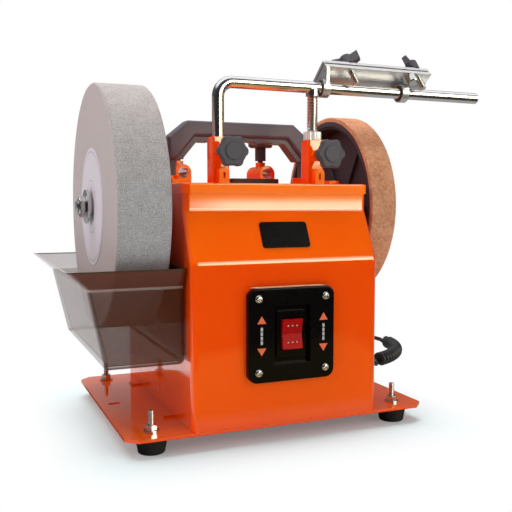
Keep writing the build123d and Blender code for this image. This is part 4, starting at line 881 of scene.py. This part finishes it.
# %% Support arm
def bar_tree():
    tree, given = start_tree("bent_bar", Radius=LENGTH, Bend=LENGTH)
    line = given["Radius"].node("GeometryNodeMeshToCurve", values={"Mesh": given["Geometry"]})
    values = {"Curve": line, "Count": 14, "Radius": given["Bend"]}
    rounded = line.node("GeometryNodeFilletCurve", {"mode": "POLY"}, values)
    values = {"Resolution": 40, "Radius": given["Radius"]}
    circle = line.node("GeometryNodeCurvePrimitiveCircle", {"mode": "RADIUS"}, values)
    values = {"Curve": rounded, "Profile Curve": circle, "Fill Caps": True}
    end_tree(tree, given, line.node("GeometryNodeCurveToMesh", values=values))
    return tree


def joined(name, *parts):
    """One mesh object from several; the parts are removed."""
    with bpy.context.temp_override(active_object=parts[0], selected_editable_objects=list(parts)):
        bpy.ops.object.join()
    parts[0].name = name
    return parts[0]


bar_sizes = {"Radius": 6 * MM, "Bend": 15 * MM, "Finish": chrome_bar}
sleeve_x = 52
arm_y = -78
arm_height = 349.3
arm_foot = 235.3
arm_end = 261
bar_line = [(-sleeve_x, arm_y, arm_foot), (-sleeve_x, arm_y, arm_height), (arm_end, arm_y, arm_height)]
arm_bar = grow("arm_bar", bar_tree(), bar_line, bar_sizes, [(0, 1), (1, 2)])
leg_sizes = {"length": 108, "radius": 6, "pitch": 3, "finish_used": chrome_bar}
arm_leg = thread("arm_leg", [(sleeve_x, arm_y, arm_foot)], **leg_sizes)
collar_sizes = {"Radius": 7 * MM, "Bend": 0.0, "Finish": chrome_bar}
collar_line = [(sleeve_x, arm_y, 340.3), (sleeve_x, arm_y, 347)]
arm_collar = grow("arm_collar", bar_tree(), collar_line, collar_sizes, [(0, 1)])
support_arm = joined("support_arm", arm_bar, arm_leg, arm_collar)
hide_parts("support_bar")
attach(support_arm, "support")
print("support arm", [round(d, 3) for d in support_arm.dimensions])

# %% [markdown]
# ## Marks on the switch plate
# Two columns of printed arrows show which way each wheel may run, with plain pale bars between them, and
# small domes on the rocker tell by touch which end is down. Ink on plastic is matt and a little uneven,
# so each print has two close tones.


# %% Print finishes
def printed(deep, pale):
    """A recipe for a print in two close tones."""

    def recipe(sheet):
        fine = grain(sheet, 0.4, 3)
        return {"Base Color": blend(fine, deep, pale), "Roughness": 0.4 + fine * 0.2}

    return recipe


print_orange = finish("print_orange", printed(tint(214, 84, 38), tint(232, 104, 52)))
print_pale = finish("print_pale", printed(tint(150, 144, 142), tint(196, 190, 188)))
print("two prints")

# %% [markdown]
# ### Shapes of the marks
# Prints could be drawn in the plate's material. As thin plates, a tenth of a millimetre proud, they stay
# crisp from any distance. An arrow is a plate with three corners, and its tree turns the copies below
# the middle of the switch upside down. A bar is a thin box, and a dome is a flattened ball.


# %% Mark trees
def arrow_tree():
    tree, given = start_tree("arrow", Width=LENGTH, Middle=LENGTH)
    start = given["Width"]
    values = {"Vertices": 3, "Radius": start * 0.577}
    circle = start.node("GeometryNodeMeshCircle", {"fill_type": "NGON"}, values)
    values = {"Mesh": circle, "Offset Scale": 0.1 * MM}
    plate = start.node("GeometryNodeExtrudeMesh", values=values)
    values = {"Geometry": plate, "Rotation": (0, 0, math.pi / 2), "Scale": (1, 1.1, 1)}
    upright = start.node("GeometryNodeTransform", values=values)
    place = start.node("GeometryNodeInputPosition")
    below = component(place, "Z") < given["Middle"]
    turn = start.node("ShaderNodeCombineXYZ", values={"X": math.pi / 2, "Y": below * math.pi})
    values = {"Points": given["Geometry"], "Instance": upright, "Rotation": turn}
    end_tree(tree, given, start.node("GeometryNodeInstanceOnPoints", values=values))
    return tree


def strip_tree():
    tree, given = start_tree("strip", Width=LENGTH, Height=LENGTH)
    start = given["Width"]
    size = start.node("ShaderNodeCombineXYZ", values={"X": start, "Y": 0.16 * MM, "Z": given["Height"]})
    bar = start.node("GeometryNodeMeshCube", values={"Size": size})
    values = {"Points": given["Geometry"], "Instance": bar}
    end_tree(tree, given, start.node("GeometryNodeInstanceOnPoints", values=values))
    return tree


def dot_tree():
    tree, given = start_tree("dot", Radius=LENGTH)
    start = given["Radius"]
    ball = start.node("GeometryNodeMeshIcoSphere", values={"Radius": start, "Subdivisions": 3})
    flat = start.node("GeometryNodeTransform", values={"Geometry": ball, "Scale": (1, 0.5, 1)})
    values = {"Points": given["Geometry"], "Instance": flat}
    end_tree(tree, given, start.node("GeometryNodeInstanceOnPoints", values=values))
    return tree


print("arrow, bar and dome ready")

# %% [markdown]
# ### Placing the marks
# The arrows and bars lie on the face of the switch plate. The domes ride on the rocker, whose face is
# hollow, so their place follows its slope.

# %% Marks
plate_middle = 106
columns = (-32, 33)
arrow_points = [(x, plate_face, z) for x in columns for z in (120, 92)]
arrow_sizes = {"Width": 8.4 * MM, "Middle": plate_middle * MM, "Finish": print_orange}
arrows = grow("direction_arrows", arrow_tree(), arrow_points, arrow_sizes)
strip_points = [(x, plate_face - 0.04, z) for x in columns for z in (99.6, 103.9, 108.1, 112.4)]
strip_sizes = {"Width": 2.2 * MM, "Height": 3.4 * MM, "Finish": print_pale}
strips = grow("direction_strips", strip_tree(), strip_points, strip_sizes)
dot_rise = 8
dot_face = -139.6 - 2.6 * dot_rise / 14.3  # the rocker stands 2.6 mm further out at its ends
dot_points = [(x, dot_face, plate_middle + z) for x in (-4.6, 0, 4.6) for z in (-dot_rise, dot_rise)]
dots = grow("rocker_dots", dot_tree(), dot_points, {"Radius": 0.75 * MM, "Finish": print_pale})
for piece, body in ((arrows, "machine"), (strips, "machine"), (dots, "switch")):
    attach(piece, body)

# %% [markdown]
# ## The lead's finish and body
# The lead takes its black, is attached to the machine's body, and stands for the three plain tubes, which
# are hidden.

lead_line.materials.append(cord_black)
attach(mains_lead, "machine")
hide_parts("cord_lead", "cord_curls", "cord_tail")

# %% [markdown]
# ## Finish
# The box of the solids and the box of the dressed machine are kept side by side: looks may not change
# the machine's size.

# %% Sizes and end
dressed_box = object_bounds()
sizes = {
    "solids": [[float(c) for c in corner] for corner in solid_box],
    "dressed": [[float(c) for c in corner] for corner in dressed_box],
}
print("dressed", [round(high - low, 4) for low, high in zip(*sizes["dressed"])])
